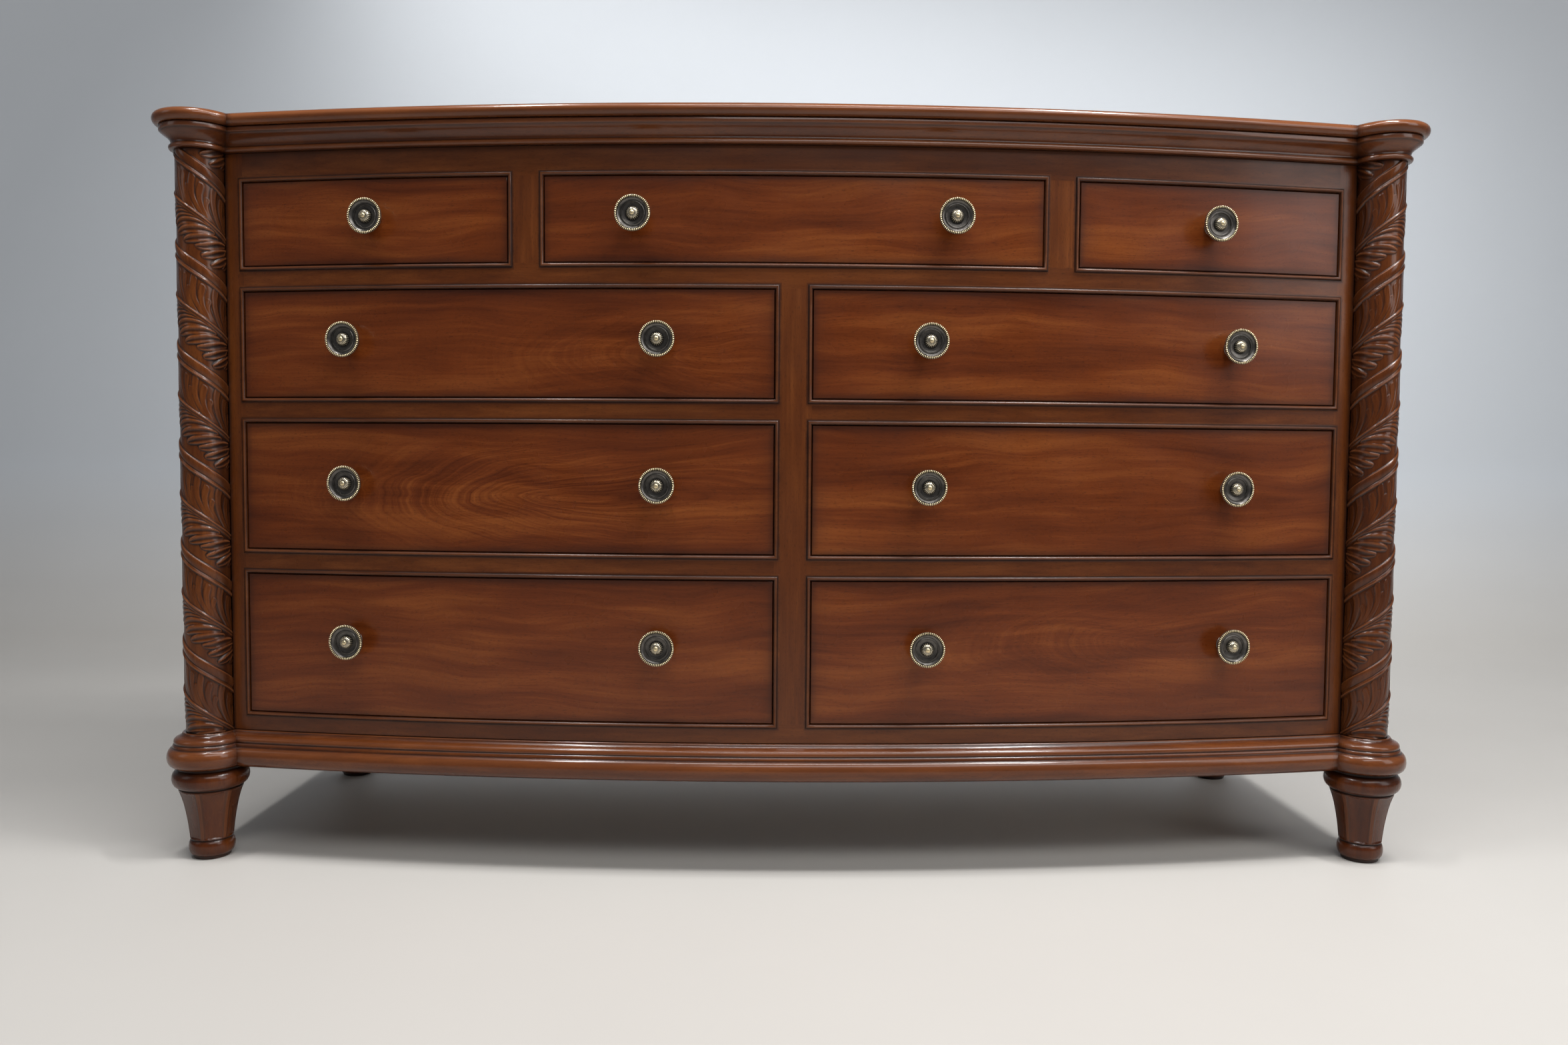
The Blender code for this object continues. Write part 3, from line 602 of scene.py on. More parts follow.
# Feathers below it: half width, height, then places from the stem to the tip
FEATHERS = (
    (5.1, 2.4, (57, 71), (42, 76), (28, 84), (17, 94), (9, 104)),
    (5.8, 2.9, (63, 74), (50, 80), (37, 89), (25, 99), (16, 109)),
    (5.8, 2.9, (68, 78), (56, 86), (44, 96), (34, 105), (26, 113)),
    (5.5, 2.8, (82, 76), (71, 84), (60.5, 94), (51, 103), (42, 110)),
    (5.3, 2.7, (86, 81), (76, 90), (66.5, 100), (57.5, 110), (49, 118)),
    (4.8, 2.3, (91, 86), (83, 95), (75, 105), (68, 114), (61, 122)),
    (4.2, 2, (97, 82), (90, 92), (84, 102), (79, 111)),
    (3.9, 2, (45, 70), (31, 76), (18, 85), (9, 96), (4, 104)),
    (3.7, 1.9, (35, 70), (21, 76.5), (9.5, 86), (1, 97)),
    (3.6, 1.9, (25, 70), (12, 77), (1.5, 87), (-5, 99)),
    (3.3, 1.8, (15, 70), (4, 77.5), (-5, 88), (-11, 101)),
    (3.4, 1.9, (5, 70), (-4, 79), (-11, 90), (-17, 104)),
    (3.6, 1.9, (-4, 70), (-11, 81), (-17, 93), (-22, 108)))


def smooth_path(points, count=34):
    """A smooth run through a few places, in the tile's own metres."""
    p = np.array(points, dtype=float)
    p = np.concatenate([[2 * p[0] - p[1]], p, [2 * p[-1] - p[-2]]])
    u = np.linspace(0, len(points) - 1.000001, count)
    i = u.astype(int)
    f = (u - i)[:, None]
    a, b, c, d = (p[i + n] for n in range(4))
    run = 0.5 * (2 * b + (c - a) * f + (2 * a - 5 * b + 4 * c - d) * f ** 2
                 + (3 * b - a - 3 * c + d) * f ** 3)
    return (run + TILE_SHIFT) * 0.001


def stroke(s_grid, t_grid, points, widths):
    """Distance from a tapering stroke in widths, place along it, and distance with its side."""
    best = np.full(s_grid.shape, 9)
    along, side = np.zeros(s_grid.shape), np.zeros(s_grid.shape)
    total = len(points) - 1
    for i in range(total):
        d = points[i + 1] - points[i]
        rel_s, rel_t = s_grid - points[i][0], t_grid - points[i][1]
        u = np.clip((rel_s * d[0] + rel_t * d[1]) / max(1e-12, d @ d), 0, 1)
        off_s, off_t = rel_s - u * d[0], rel_t - u * d[1]
        dist = np.hypot(off_s, off_t) / (widths[i] * (1 - u) + widths[i + 1] * u)
        hit = dist < best
        best = np.where(hit, dist, best)
        along = np.where(hit, (i + u) / total, along)
        side = np.where(hit, dist * np.sign(d[0] * off_t - d[1] * off_s), side)
    return best, along, side


def bell(value, centre, width):
    return np.exp(-np.square((value - centre) / width))


def soft_step(value, low, high):
    u = np.clip((value - low) / (high - low), 0, 1)
    return u * u * (3 - 2 * u)


def flame_height(best, along, side, high):
    """Low soft lobe with a thin raised rim around its tip."""
    edge = soft_step(1 - best, 0, 0.55)
    tip = np.clip(1 - along / 0.36, 0, 1)
    rim = bell(best, 0.74, 0.11) * tip * (0.75 - 0.25 * side)
    hollow = 0.25 * bell(best, 0, 0.45) * tip
    return edge * (high * (0.92 - 0.22 * side * np.abs(side)) - hollow + 1.15 * rim)


def feather_height(best, along, side, high):
    """Long lobe with its crest near the upper side and a thin lower rim."""
    edge = soft_step(1 - best, 0, 0.2)
    across = (0.76 + 0.34 * bell(side, 0.42, 0.26) - 0.2 * bell(side, -0.2, 0.34)
              + 0.08 * bell(side, -0.74, 0.14))
    rise = 0.66 + 0.34 * np.sin(np.pi * np.clip(0.12 + 0.8 * along, 0, 1))
    return 0.95 * high * edge * rise * across


def blur(field, sigma):
    """Gaussian blur of a tile that repeats in both directions."""
    reach = int(3 * sigma / TILE_STEP) + 1
    shifts = range(-reach, reach + 1)
    k = np.exp(-0.5 * (np.array(shifts) * TILE_STEP / sigma) ** 2)
    for axis in (0, 1):
        field = sum(share * np.roll(field, n, axis) for share, n in zip(k / k.sum(), shifts))
    return field


def strap_height(mm):
    """Profile across the spiral strap: a wide convex ribbon and a narrow crest below it."""
    mm = np.where(mm > 800 * PITCH - TILE_SHIFT[1], mm - 1000 * PITCH, mm)
    wide = 2.75 - 0.55 * np.square((mm + 3.6) / 5.6) - 0.03 * (mm + 2)
    narrow = 1.9 + 1.1 * bell(mm, 9.9, 1.25)
    height = np.where(np.abs(mm + 2.2) < 7, wide, 0)
    height = np.maximum(height, np.where((mm > 6.3) & (mm < 11.9), narrow, 0))
    return np.maximum(height, 0.9), (mm > -10.2) & (mm < 12.3)


def midrib_height(ss, mm):
    mm = mm - 0.9 * np.sin(2 * np.pi * ss / TILE_W)
    return np.maximum(2.95 - 0.3 * np.square(mm - 64.2), 2.05 - 0.16 * np.square(mm - 68))


def carve_tile():
    """Height, painted shade and wear-and-highlight values of the tile. Heights are worked out in
    millimetres.
    """
    ns, nt = (int(round(size / TILE_STEP)) for size in (TILE_W, PITCH))
    tt, ss = np.meshgrid((np.arange(nt) + 0.5) * PITCH / nt, (np.arange(ns) + 0.5) * TILE_W / ns,
                         indexing="ij")
    mm = 1000 * tt - TILE_SHIFT[1]
    height = 0.55 + 0.12 * np.sin(4 * np.pi * ss / TILE_W) * np.sin(2 * np.pi * tt / PITCH)
    height += 0.16 * soft_step(mm, 11, 18) * (1 - soft_step(mm, 52, 62))
    for lobes, profile, (stem, end) in ((FLAMES, flame_height, (0.8, 0.42)),
                                        (FEATHERS, feather_height, (0.48, 0.46))):
        for half, high, *places in lobes:
            path = smooth_path(places)
            n = np.linspace(0, 1, len(path))
            ends = stem * (1 - n) + end * n
            widths = half * 0.001 * (ends + (1 - ends) * np.sin(np.pi * n) ** 0.7)
            for wrap in (-2, -1, 0, 1):
                moved = path + np.array([wrap * TILE_W, 0])
                if moved[:, 0].max() > -0.008 and moved[:, 0].min() < TILE_W + 0.008:
                    height = np.maximum(height, profile(*stroke(ss, tt, moved, widths), high))
    height = np.maximum(height, midrib_height(ss, mm))
    strap, inside = strap_height(mm)
    height = np.clip(blur(np.where(inside, strap, height), 0.0003), 0, MAX_RELIEF)
    # Painted shade and glaze darken the hollows and the low ground; raised ridges get the wear
    # colour
    cavity = blur(height, 0.0011) - height
    dark = np.clip(cavity / 0.22, 0, 1) + 0.16 * np.clip((1.6 - height) / 1.6, 0, 1)
    worn = np.clip(-cavity / 0.4, 0, 1) * np.clip((height - 1) / 1.2, 0, 1)
    return height * 0.001, np.clip(dark, 0, 1), worn


def sample(tile, row, col):
    """Reads the tile between its points, at shares of its height and width."""
    nt, ns = tile.shape
    r, c = row * nt - 0.5, col * ns - 0.5
    r0, c0 = np.floor(r).astype(int), np.floor(c).astype(int)
    fr, fc = r - r0, c - c0
    return sum(wr * wc * tile[(r0 + i) % nt, (c0 + j) % ns]
               for i, wr in ((0, 1 - fr), (1, fr)) for j, wc in ((0, 1 - fc), (1, fc)))


def column_grid(tiles, rows):
    """Points, painted shade and wear-and-highlight values of a left-hand column about its own axis.
    """
    # The side towards the post is hidden and needs few points
    seen, hidden = np.linspace(-205, 78, 196), np.linspace(78, 155, 9)[1:-1]
    z = np.linspace(BASE_TOP + FIT, CORNICE_UNDER - FIT, rows)
    zz, aa = np.meshgrid(z, np.radians(np.concatenate([seen, hidden])), indexing="ij")
    rel = aa + FACING
    row = np.mod((TWIST_Z - zz) / PITCH - rel / (2 * math.pi), 1)
    col = np.mod(rel / math.pi, 1)
    h, dark, worn = (sample(t, row, col) for t in tiles)
    pts = circle(COL_R - 0.001 * MAX_RELIEF + h, zz, aa)
    ends = np.minimum(zz - z[0], z[-1] - zz)
    # Painted shade, with some glaze: darker towards the post and the far edge, and where the column
    # meets the cornice and the base
    dark = dark + 0.62 * soft_step(aa, -1.1, -0.35) + 0.2 * soft_step(-aa, 2.4, 3.1)
    dark = np.clip(dark + 0.8 * np.exp(-ends / 0.003), 0, 1)
    return pts, dark, 0.8 * worn


def grid_normals(pts):
    """Normals of a ring grid, closed around and open at the ends."""
    du = np.roll(pts, -1, 1) - np.roll(pts, 1, 1)
    dv = np.gradient(pts, axis=0)
    n = np.cross(du, dv)
    return n / np.linalg.norm(n, axis=-1, keepdims=True)


def make_columns():
    rows = 961
    pts, dark, worn = column_grid(carve_tile(), rows)
    normal, half = grid_normals(pts), rows // 2
    # The right column stands in more light, so its painted shade is scaled down
    for word, side, seed, shade_scale in (("left", 1, 0.2, 1), ("right", -1, 0.9, 0.74)):
        for part, lo, hi in (("lower", 0, half + 1), ("upper", half, rows)):
            turn = np.array([side, 1, 1])
            chunk = pts[lo:hi] * turn + np.array([-side * COL_X, COL_Y, 0])
            quads = grid_quads(*chunk.shape[:2])
            name = f"column_{word}_carved_{part}"
            mesh = new_mesh(name, chunk, quads[:, ::side].tolist(), outward=False)
            attributes(mesh, dark=dark[lo:hi] * shade_scale, worn=worn[lo:hi])
            mesh.polygons.foreach_set("use_smooth", [True] * len(mesh.polygons))
            mesh.normals_split_custom_set_from_vertices(
                (normal[lo:hi] * turn).reshape(-1, 3).tolist())
            on_case(name, mesh, "carved", "column_" + word, seed=seed)


make_columns()


# Feet with six broad flutes. Rows are radius, height and painted shade
FLUTE_TURN, FLUTE_LOW, FLUTE_HIGH, FLUTE_DEPTH = math.pi / 3, 0.029, 0.1005, 0.0027
FOOT = metres((
    (43, 133.7, 1), (43.5, 130.5, 1), (47, 128.3, 0.5), (49.7, 125, 0.1), (51.2, 121, 0),
    (51.6, 116.5, 0), (50.8, 112, 0), (48.7, 107.8, 0.1), (45.5, 104.8, 0.5), (41.8, 103.6, 1),
    (41.5, 102.4, 1), (42.6, 101.6, 0.6), (42.8, 100, 0), (41.2, 96, 0), (38.8, 89, 0),
    (36.4, 80, 0), (34.3, 70, 0), (32.5, 60, 0), (31, 50, 0), (29.9, 41, 0), (29.1, 33, 0),
    (28.8, 29.2, 0.3), (28.4, 28.4, 0.9), (27.2, 27.6, 1), (27.4, 26.8, 0.9), (29, 25.2, 0.3),
    (30.2, 22.2, 0), (30.8, 18, 0), (30.7, 14, 0), (29.8, 9.8, 0), (28, 6.4, 0.2), (25.8, 4.6, 0.8),
    (25.2, 4.2, 1), (25, 1, 1), (24.3, 0, 1)))


def foot_mesh(name, side):
    angle = turn_angles(144)
    # Distance from the nearest flute's middle, where 1 is the flute's edge
    lay = np.mod(angle + FLUTE_TURN / 2, FLUTE_TURN) - FLUTE_TURN / 2
    lay = np.abs(lay) / math.radians(24.5)
    scoop = np.clip(1 - lay ** 2, 0, 1) * 0.85 + 0.15 * (lay < 1)
    rings, dark, worn, levels = [], [], [], []
    for a, b in zip(np.array(FOOT), np.array(FOOT[1:])):
        steps = 5 if FLUTE_LOW < b[1] < FLUTE_HIGH else 1
        levels += [a + (b - a) * i / steps for i in range(steps)]
    for r, z, shadow in levels + [FOOT[-1]]:
        top = FLUTE_HIGH - 0.0022 * np.clip(1 - lay, 0, 1)
        inside = np.clip((top - z) / 0.0015, 0, 1) * np.clip((z - FLUTE_LOW - 0.0004) / 0.002, 0, 1)
        rr = r - FLUTE_DEPTH * r / 0.036 * scoop * inside
        rings.append(circle(rr, z, angle) * (side, 1, 1))
        # Painted shade in the crease at each flute's edge, with a lighter arris beside it
        dark.append(np.clip(shadow + 0.55 * bell(lay, 1, 0.1) * inside, 0, 1))
        worn.append(0.55 * bell(lay, 1.13, 0.1) * inside)
    return grid_mesh(name, rings, dark, worn, angle=28)


def make_feet():
    rear_x, rear_y = SIDE_X - FOOT_INSET, BACK_Y - FOOT_INSET
    for word, x, y in (("front_left", -COL_X, COL_Y), ("front_right", COL_X, COL_Y),
                       ("rear_left", -rear_x, rear_y), ("rear_right", rear_x, rear_y)):
        mesh = foot_mesh(f"foot_{word}_turned", -1 if x > 0 else 1)
        mesh.transform(Matrix.Translation((x, y, 0)))
        on_case(mesh.name, mesh, "foot", "foot_" + word, seed=0.37 + x, slot="dark_mahogany")


make_feet()


# Beads around the openings, mitred at the corners. Rows are reach, stand-off, painted shade, and
# wear with painted highlight
BEAD = metres((
    (0.2, -4, 1, 0), (0.2, 0.6, 0.9, 0), (0.7, 1.4, 0.6, 0), (1.4, 2.3, 0.45, 0.1),
    (2.4, 2.9, 0.25, 0.4), (3.3, 3, 0.35, 0.1), (4.2, 2.7, 0.55, 0), (5, 1.8, 0.8, 0),
    (5.4, 0.6, 1, 0), (5.6, 0.2, 1, 0), (6.4, 0.2, 0.5, 0), (7.4, 0.1, 0.2, 0), (8.4, 0.1, 0, 0),
    (8.4, -4, 0, 0)))


def bead_mesh(name, x0, x1, z0, z1):
    steps = max(8, int((x1 - x0) / 0.012))
    rings = []
    for reach, off, _, _ in BEAD:
        a, b, c, d = x0 - reach, x1 + reach, z0 - reach, z1 + reach
        xs, zs = np.linspace(a, b, steps + 1), np.linspace(c, d, 7)
        path = [(x, c) for x in xs[:-1]] + [(b, z) for z in zs[:-1]]
        path = np.array(path + [(x, d) for x in xs[:0:-1]] + [(a, z) for z in zs[:0:-1]])
        rings.append(np.insert(path, 1, face_y(path[:, 0]) - off, axis=1))
    dark, worn = zip(*(row[2:] for row in BEAD))
    return grid_mesh(name, rings, dark, worn, caps=False, angle=50)


def make_beads():
    for n, (word, (x0, x1), row) in enumerate(OPENINGS):
        name = "bead_" + word
        on_case(name, bead_mesh(name, x0, x1, *ROWS[row]), "x", seed=0.17 * n)


make_beads()


# Rails, stiles and the boards behind them
def points_of(mesh):
    flat = np.empty(len(mesh.vertices) * 3)
    mesh.vertices.foreach_get("co", flat)
    return flat.reshape(-1, 3)


def rail(name, x0, x1, z0, z1, node, seed, shadow=0):
    outline = arc(x0, x1, max(12, int((x1 - x0) / 0.02))) + [(x1, RAIL_BACK), (x0, RAIL_BACK)]
    mesh = slab_mesh(name, outline, z0, z1)
    # Painted shadow: darkest along the top edge, fading to none at the bottom edge
    attributes(mesh, dark=shadow * (points_of(mesh)[:, 2] > z1 - 0.001))
    on_case(name, mesh, "x", node, seed=seed)


def board(name, x0, x1, z0, z1, guides, node):
    """A board between the posts and the back, with the strips that guide the drawers."""
    pieces = [box_mesh(name, (x0, POST_BACK + FIT, z0), (x1, BACK_FACE, z1))]
    pieces += [box_mesh(name, (a, POST_BACK + 0.004, z1), (b, BACK_FACE, z1 + GUIDE_H), 0.001)
               for a, b in guides]
    on_case(name, join(name, pieces), "pale_x", node, seed=0.4)


def mirrored(pairs):
    return [pair for a, b in pairs for pair in ((a, b), (-b, -a))]


def make_rails():
    edge, wing = OPEN_HALF, PARTITION_T / 2 + FIT
    under_top, floor = ROWS[0][0], ROWS[3][0]
    rail("rail_frieze", -edge, edge, ROWS[0][1], CORNICE_UNDER - FIT, "top_rail", 0.15, 0.5)
    rail("rail_bottom", -edge, edge, BASE_TOP + FIT, floor, "bottom_rail", 0.55)
    rail("rail_under_top_row", -edge, edge, ROWS[1][1], under_top, "dust_frame_top", 0.85)
    div = (SMALL_IN + MIDDLE_OUT) / 2
    guides = mirrored(((edge, INSIDE_X), (div + wing, SMALL_IN - FIT),
                       (MIDDLE_OUT + FIT, div - wing)))
    board("board_under_top_row", -INSIDE_X, INSIDE_X, under_top - DUST_T, under_top, guides,
          "dust_frame_top")
    half = ((edge, INSIDE_X), (wing, CENTRE_HALF - FIT))
    board("board_bottom", -INSIDE_X, INSIDE_X, BASE_TOP + FIT, floor, mirrored(half),
          "bottom_board")
    for row, word in ((1, "upper"), (2, "middle")):
        z0, z1 = ROWS[row + 1][1], ROWS[row][0]
        for side, hand in ((-1, "left"), (1, "right")):
            x0, x1 = sorted((side * CENTRE_HALF, side * edge))
            b0, b1 = sorted((side * wing, side * INSIDE_X))
            tag = word + "_" + hand
            node = "dust_frame_" + tag
            rail("rail_under_" + tag, x0, x1, z0, z1, node, 0.3 * row + 0.21 * side)
            board("board_under_" + tag, b0, b1, z1 - DUST_T, z1,
                  [sorted((side * a, side * b)) for a, b in half], node)


make_rails()


def divider(name, x0, x1, z0, z1, node, seed):
    centre = (x0 + x1) / 2
    back = face_y(centre) + STILE_T
    stile = slab_mesh(name, arc(x0, x1, 6) + [(x1, back), (x0, back)], z0, z1)
    on_case(name, stile, "z", node, seed=seed)
    web = box_mesh(name + "_web", (centre - PARTITION_T / 2, back - 0.004, z0),
                   (centre + PARTITION_T / 2, BACK_FACE, z1))
    on_case(name + "_web", web, "pale_y", node, seed=seed)


def post_mesh(name, side):
    """The stile beside the column, with a round hollow where the column stands."""
    r = COL_R + 0.0005
    angles = np.linspace(math.pi - 0.92 * math.asin(COL_PROUD / r), math.pi / 2 - 0.35, 26)
    curve = [(COL_X + r * math.cos(a), COL_Y + r * math.sin(a)) for a in angles]
    curve[0] = (curve[0][0], face_y(curve[0][0]))
    outline = arc(OPEN_HALF, curve[0][0], 5)[:-1] + curve
    outline += [(SIDE_X, curve[-1][1]), (SIDE_X, POST_BACK), (OPEN_HALF, POST_BACK)]
    mesh = slab_mesh(name, [(side * x, y) for x, y in outline], BASE_TOP + FIT,
                     CORNICE_UNDER - FIT)
    x, y, _ = points_of(mesh).T
    # Painted shade on the post, darkest beside the column
    away = np.maximum(0, np.hypot(np.abs(x) - COL_X, y - COL_Y) - COL_R - 0.001)
    attributes(mesh, dark=np.exp(-away / 0.002))
    return mesh


def make_uprights():
    divider("stile_centre", -CENTRE_HALF, CENTRE_HALF, ROWS[3][0], ROWS[1][1], "centre_divider",
            0.44)
    for side, word in ((-1, "left"), (1, "right")):
        x0, x1 = sorted((side * MIDDLE_OUT, side * SMALL_IN))
        divider("stile_top_" + word, x0, x1, *ROWS[0], "top_divider_" + word, 0.6 + 0.1 * side)
        name = "stile_outer_" + word
        on_case(name, post_mesh(name, side), "z", "post_" + word, seed=0.3 * side + 1)


make_uprights()


# Drawers. Where each front's arched figure sits, as shares of its width and height, and how strong
ARCHES = {"middle_left": (0.58, 0.46, 0.74), "upper_left": (0.86, 0.35, 0.3),
          "lower_right": (0.62, 0.55, 0.3)}
PLAIN = (0.45, 0.5, 0.08)
EASE, JOINT = 0.0007, 0.0008


def front_mesh(name, x0, x1, z0, z1, arches):
    """A bowed front as a fine grid, so that painted shade can deepen towards its edges."""
    a, b, c, d = x0 + GAP, x1 - GAP, z0 + GAP, z1 - GAP
    # The outer rows and columns are a small rounding around the face
    xs, zs = ([lo, *np.linspace(lo + EASE, hi - EASE, max(least, int((hi - lo) / 0.008))), hi]
              for lo, hi, least in ((a, b, 24), (c, d, 14)))
    zz, xx = np.meshgrid(zs, xs, indexing="ij")
    rows, cols = xx.shape
    edge = (zz == zs[0]) | (zz == zs[-1]) | (xx == xs[0]) | (xx == xs[-1])
    verts = np.stack([xx, face_y(xx) + 0.0006 * edge, zz], -1).reshape(-1, 3)
    ids = np.arange(rows * cols).reshape(rows, cols)
    rim = np.concatenate([ids[0], ids[1:, -1], ids[-1, -2::-1], ids[-2:0:-1, 0]]).tolist()
    behind = verts[rim]
    behind[:, 1] = face_y(behind[:, 0], FRONT_T)
    base, count = len(verts), len(rim)
    faces = grid_quads(rows, cols, closed=False).tolist()
    for k in range(count):
        m = (k + 1) % count
        faces.append([rim[m], rim[k], base + k, base + m])
    # The back, as strips between its lower and upper edge
    upper = base + 2 * cols + rows - 3
    faces += [[base + q + 1, base + q, upper - q, upper - q - 1] for q in range(cols - 1)]
    points = np.concatenate([verts, behind])
    mesh = new_mesh(name, points, faces)
    x, _, z = points.T
    edge = np.minimum.reduce([x - a, b - x, (z - c) * 1.4, d - z])
    along, up, strength = arches
    spot = [x - a - (b - a) * along, np.full(len(x), strength), z - c - (d - c) * up]
    # Painted shade towards the edges, narrower along the bottom edge
    attributes(mesh, dark=0.42 * np.exp(-edge / 0.014) + 0.3 * np.exp(-edge / 0.0022),
               figure=np.stack(spot, -1))
    shade(mesh, 30)
    return mesh


def drawer_box_meshes(name, x0, x1, z0, z1):
    """Two sides, a back and a bottom with fine joints between them."""
    a, b = x0 + BOX_SIDE, x1 - BOX_SIDE
    low, high = z0 + FIT, z1 - BOX_TOP_GAP
    end = BACK_FACE - BOX_BACK_GAP
    inner_a, inner_b, inner_end = a + BOX_WALL, b - BOX_WALL, end - BOX_WALL
    for word, p, q in (("_side_a", a, inner_a), ("_side_b", inner_b, b)):
        outline = arc(p, q, 1, FRONT_T)
        outline = [(x, y + JOINT) for x, y in outline] + [(q, end), (p, end)]
        yield name + word, slab_mesh(name, outline, low, high, 0.0012), "pale_y"
    back = box_mesh(name, (inner_a + 0.0002, inner_end, low + 0.003),
                    (inner_b - 0.0002, end - 0.0004, high - 0.004), 0.0012)
    yield name + "_back", back, "pale_x"
    outline = arc(inner_a, inner_b, 24, FRONT_T + JOINT)
    outline += [(inner_b, inner_end), (inner_a, inner_end)]
    yield name + "_bottom", slab_mesh(name, outline, low + 0.003, low + BOX_FLOOR), "pale_x"


# Knob: a lathe-turned dish, a ring of beads and a gadrooned boss. Rows are radius, height and dark
DISH = metres((
    (0, 0, 0), (12.5, 0, 0.6), (13.5, 1.2, 0), (12.2, 3, 0.2), (8.5, 4.4, 0.6), (7.2, 8, 0),
    (8.2, 12, 0), (12, 15.2, 0.1), (18, 17.6, 0), (22.6, 19.8, 0), (24.3, 21.5, 0), (24.6, 23.5, 0),
    (24.2, 24.6, 0.6), (23.2, 24.8, 1), (22, 24.7, 1), (21.4, 24.1, 1), (21.1, 23.6, 0.6),
    (20, 22.6, 0.1), (18.5, 21.9, 0.2), (17, 21.5, 0.55), (16.1, 21.8, 0.2), (15.6, 22.3, 0),
    (15.1, 22.2, 0), (14.9, 21.4, 1), (14.6, 21.1, 0.6), (13.8, 21.1, 0.35), (12, 20.6, 0.35),
    (10.5, 20.5, 0.5), (9.4, 20.6, 0.9), (8.8, 20.8, 1), (0, 20.8, 1)))
BEADS, PETALS = 58, 20
BEAD_REACH, BEAD_HALF, BEAD_RISE = 0.0019, 0.00104, 0.0017


class Skins:
    """Collects lathe-like skins, with what the material needs at each point."""

    def __init__(self):
        self.verts, self.faces = [], []
        self.fields = {"dark": [], "worn": [], "pale": []}

    def add(self, rings, dark, worn, pale=0):
        shape = np.shape(rings)[:2]
        self.faces.extend((grid_quads(*shape) + len(self.verts)).tolist())
        self.verts.extend(np.reshape(rings, (-1, 3)))
        for name, values in (("dark", dark), ("worn", worn), ("pale", [pale] * shape[0])):
            self.fields[name].extend(spread(values, shape))

    def mesh(self, name):
        mesh = new_mesh(name, self.verts, self.faces, outward=False)
        attributes(mesh, **self.fields)
        shade(mesh, 55)
        return mesh


def add_boss(skins):
    """Radial petals with deep gaps around a small smooth button."""
    ang = turn_angles(PETALS * 9)
    swell = soft_step(np.abs(np.cos(PETALS / 2 * ang)), 0.25, 0.8)
    rings = []
    for t in np.linspace(0, 1, 11):
        lift, draw = math.sin(t * math.pi / 2), math.cos(t * math.pi / 2) ** 0.85
        r = (0.0029 + 0.006 * draw) * (1 - 0.16 * (1 - swell) * (1 - 0.4 * t))
        sink = 0.0011 * (1 - swell) * math.sin(min(1, 1.6 * t) * math.pi / 2)
        rings.append(circle(r, 0.0207 + 0.0072 * lift - sink, ang))
    dark = np.clip(1.1 * (1 - swell), 0, 1)
    skins.add(rings, [dark] * 11, [0.2 + 0.8 * swell] * 11, 0.65)
    lift = np.linspace(0, math.pi / 2, 6)
    rings = [circle(0.0034 * math.cos(a), 0.0278 + 0.0019 * math.sin(a), turn_angles(24))
             for a in lift]
    skins.add(rings, 0.5 * (1 - lift / lift[-1]) ** 2, [0.95] * 6)


def add_beads(skins):
    b = turn_angles(10)[:, None]
    for a in turn_angles(BEADS):
        out = np.array([math.cos(a), math.sin(a), 0])
        around = np.array([-math.sin(a), math.cos(a), 0])
        oval = out * BEAD_REACH * np.cos(b) + around * BEAD_HALF * np.sin(b)
        rings = [out * 0.023 + math.cos(lat) * oval + [0, 0, 0.0246 + BEAD_RISE * math.sin(lat)]
                 for lat in np.linspace(0, math.pi / 2 * 0.999, 5)]
        skins.add(rings, 0.8 * np.linspace(1, 0, 5) ** 2, np.linspace(0.7, 1, 5), 0.15)


def knob_mesh():
    skins = Skins()
    rings = [circle(r, z, turn_angles(56)) for r, z, _ in DISH]
    rubbed = [0.25 * (r > 0.0239 and 0.019 < z < 0.0256) for r, z, _ in DISH]
    skins.add(rings, [shadow for _, _, shadow in DISH], rubbed)
    add_boss(skins)
    add_beads(skins)
    return skins.mesh("knob")


KNOB = knob_mesh()


def make_knob(name, x, z, body):
    obj = mesh_object("pull_" + name, KNOB, body, "brass", ["knob_" + name])
    turn = math.asin(x / ARC_R)
    place = (x + FIT * math.sin(turn), face_y(x) - FIT * math.cos(turn), z)
    obj.matrix_world = (Matrix.Translation(place) @ Matrix.Rotation(turn, 4, "Z")
                        @ Matrix.Rotation(math.pi / 2, 4, "X"))


def make_drawers():
    for n, (word, (x0, x1), row) in enumerate(OPENINGS):
        span, body = (x0, x1, *ROWS[row]), "drawer_" + word
        front = front_mesh("veneer_" + word, *span, ARCHES.get(word, PLAIN))
        mesh_object(front.name, front, body, "front",
                    ["front_" + word], 0.13 + 0.61 * n)
        for name, mesh, mat in drawer_box_meshes("lining_" + word, *span):
            mesh_object(name, mesh, body, mat, ["box_" + word],
                        0.31 * n + 0.05)
        middle, z = (x0 + x1) / 2, sum(ROWS[row]) / 2 + KNOB_RISE[row]
        wide = (("_a", -WIDE_KNOB_HALF), ("_b", WIDE_KNOB_HALF))
        for tag, dx in wide if x1 - x0 > 0.5 else (("", 0),):
            make_knob(word + tag, middle + dx, z, body)


make_drawers()


# Side and back panels keep their solids
def dress(node, mat):
    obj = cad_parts[node]
    if not obj.material_slots:
        obj.data.materials.append(MAT[mat])
    for entry in obj.material_slots:
        entry.link, entry.material = "OBJECT", MAT[mat]


for _node, _mat in (("side_panel_left", "side"), ("side_panel_right", "side"),
                    ("back_panel", "ply")):
    dress(_node, _mat)


# Floor, backdrop and light. Far from the object all of it turns into one pale tone, for every view
PALE, PALE_LEVEL, LIT_LEVEL, GLOSS_SHARE = (0.93, 0.96, 1), 0.45, 0.085, 0.12
NEAR, FAR = 3.9, 6
FLOOR, WALL = (0.605, 0.58, 0.545), (0.636, 0.671, 0.714)
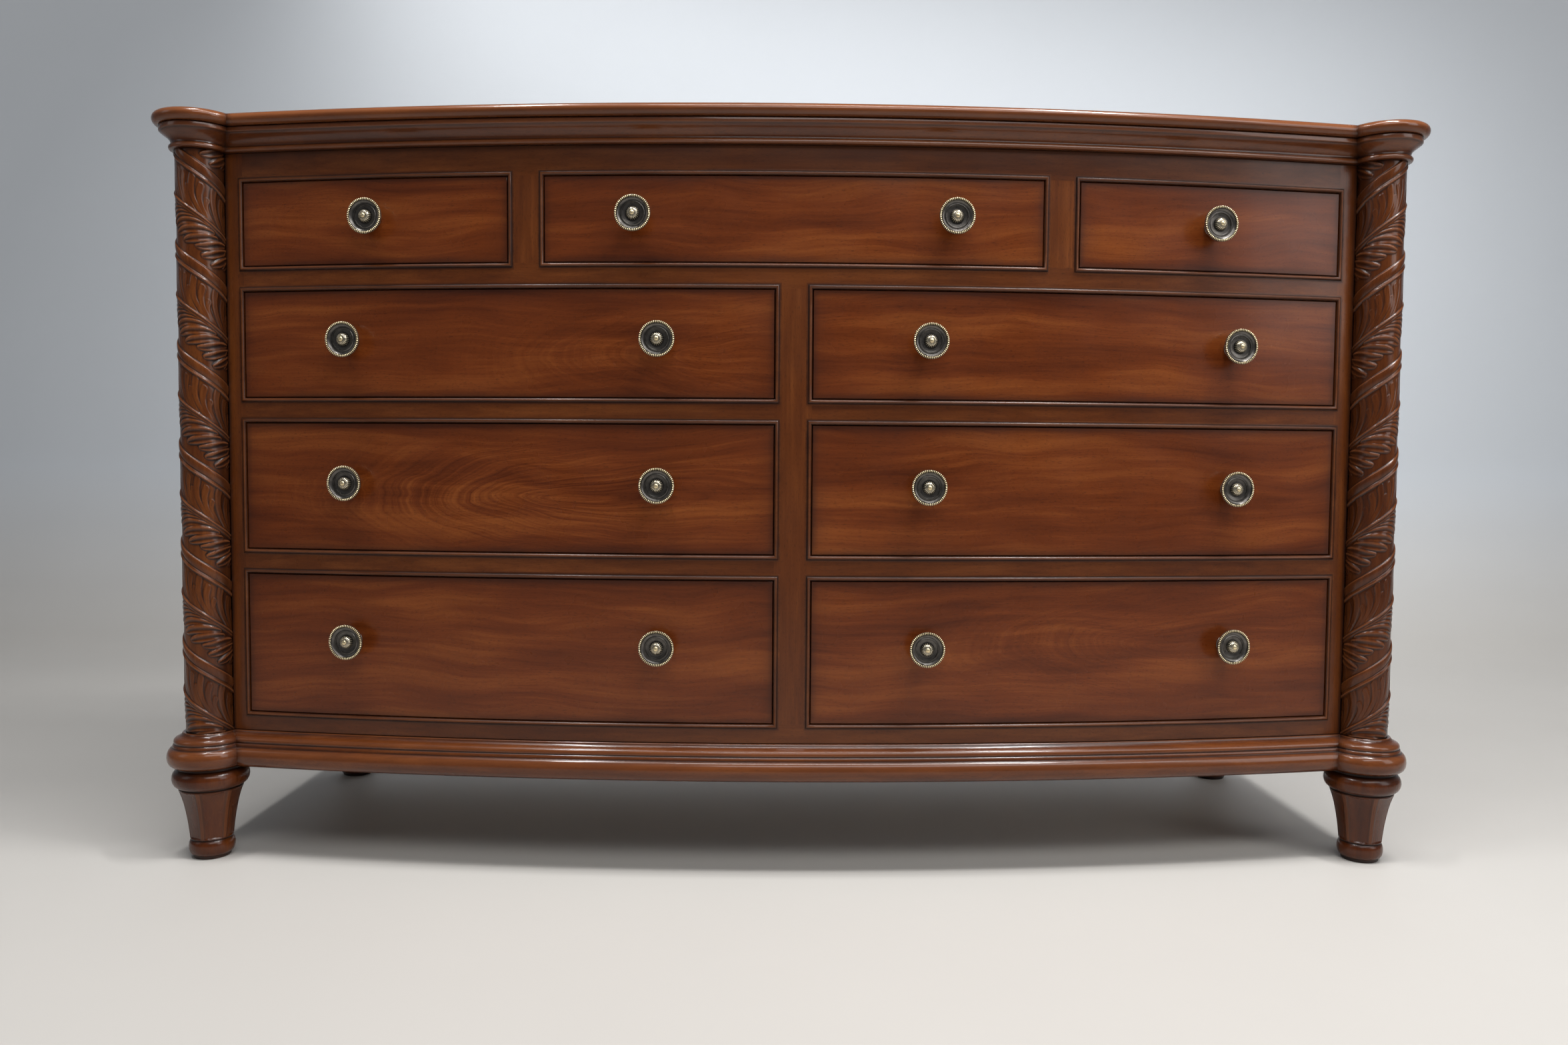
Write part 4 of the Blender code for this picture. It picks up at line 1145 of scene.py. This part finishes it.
# From the front to the back, as far as the wall's upper edge
SWEEP = (
    (-6, 0), (1.4, 0), (1.75, 0.03), (2.05, 0.14), (2.25, 0.34), (2.34, 0.62), (2.36, 6))
# Name, place, target, size and watts
LAMPS = (("front_overhead", (1, -2.5, 2.9), (0.1, -0.2, 0.5), (3.2, 0.8), 40),
         ("ceiling", (0.35, -1, 3), (0.3, -0.3, 0.5), (1.8, 0.22), 30),
         ("strip_left", (-0.98, -0.75, 3), (-0.85, -0.3, 0.5), (0.16, 0.9), 30),
         ("strip_right", (1.15, -0.75, 3), (0.9, -0.3, 0.5), (0.16, 0.9), 44),
         ("right_fill", (3.3, -2.3, 2.1), (0.3, 0, 0.5), (1.6, 2.2), 29),
         ("left_fill", (-3.6, -1.6, 2.2), (-0.4, 0, 0.5), (1.2, 1.6), 5),
         ("wall_wash", (0.3, 1.2, 3), (0.6, 2.4, 1.3), (4, 0.6), 9.2))
WASH_SPREAD = math.radians(70)


def seen_share(g):
    """1 on camera and transmission rays, a small share on glossy rays and 0 on the rest."""
    rays = g.new("LightPath").outputs
    total = 0
    for ray, share in (("Camera", 1), ("Transmission", 1), ("Glossy", GLOSS_SHARE)):
        total = g.math("MULTIPLY_ADD", rays[f"Is {ray} Ray"], share, total, clamp=True)
    return total


def stage_material(name):
    """A pale ground that turns from the floor's tone to the wall's above its sweep."""
    g = Graph(bpy.data.materials.new(name))
    place = g.coords()
    height = g.new("SeparateXYZ", {"Vector": place}).outputs["Z"]
    colour = g.mix(g.remap(height, 0.02, 0.55, 0, 1), FLOOR, WALL)
    mottle = g.ramp(g.noise(place, 3, 4, 0.6), (0.3, 0.7), ((0.985,) * 3, (1,) * 3))
    g.surface(Base_Color=g.mix(1, colour, mottle, "MULTIPLY"), Roughness=0.6)
    away = g.new("VectorMath", {0: place}, operation="LENGTH").outputs["Value"]
    share = g.mul(g.remap(away, NEAR, FAR, 0, 1), seen_share(g))
    glow = g.new("Emission", {"Color": (*PALE, 1), "Strength": PALE_LEVEL + LIT_LEVEL})
    blend = g.new("MixShader", {0: share, 1: g.bsdf.outputs[0], 2: glow.outputs[0]})
    g.put(g.nodes["Material Output"].inputs["Surface"], blend.outputs[0])
    return g.owner


def make_stage():
    verts = [(x, y, z) for y, z in SWEEP for x in (-7, 7)]
    faces = [(i, i + 1, i + 3, i + 2) for i in range(0, len(verts) - 2, 2)]
    mesh = new_mesh("studio_floor", verts, faces, outward=False)
    shade(mesh, 60)
    mesh.materials.append(stage_material("pale_ground"))
    add_object("studio_floor", mesh)


def make_lights():
    for name, place, target, size, power in LAMPS:
        data = bpy.data.lights.new(name, "AREA")
        data.shape, data.energy = "RECTANGLE", power
        data.size, data.size_y = size
        obj = add_object(name, data)
        obj.location = place
        obj.rotation_euler = (Vector(target) - Vector(place)).to_track_quat("-Z", "Y").to_euler()
    bpy.data.lights["wall_wash"].spread = WASH_SPREAD
    g = Graph(bpy.data.worlds.new("world"))
    bpy.context.scene.world = g.owner
    back = g.nodes["Background"]
    g.put(back.inputs["Color"], (*PALE, 1))
    g.put(back.inputs["Strength"], g.math("MULTIPLY_ADD", seen_share(g), PALE_LEVEL, LIT_LEVEL))


make_stage()
make_lights()
bpy.context.scene.view_settings.view_transform = "Standard"

bpy.context.view_layer.update()
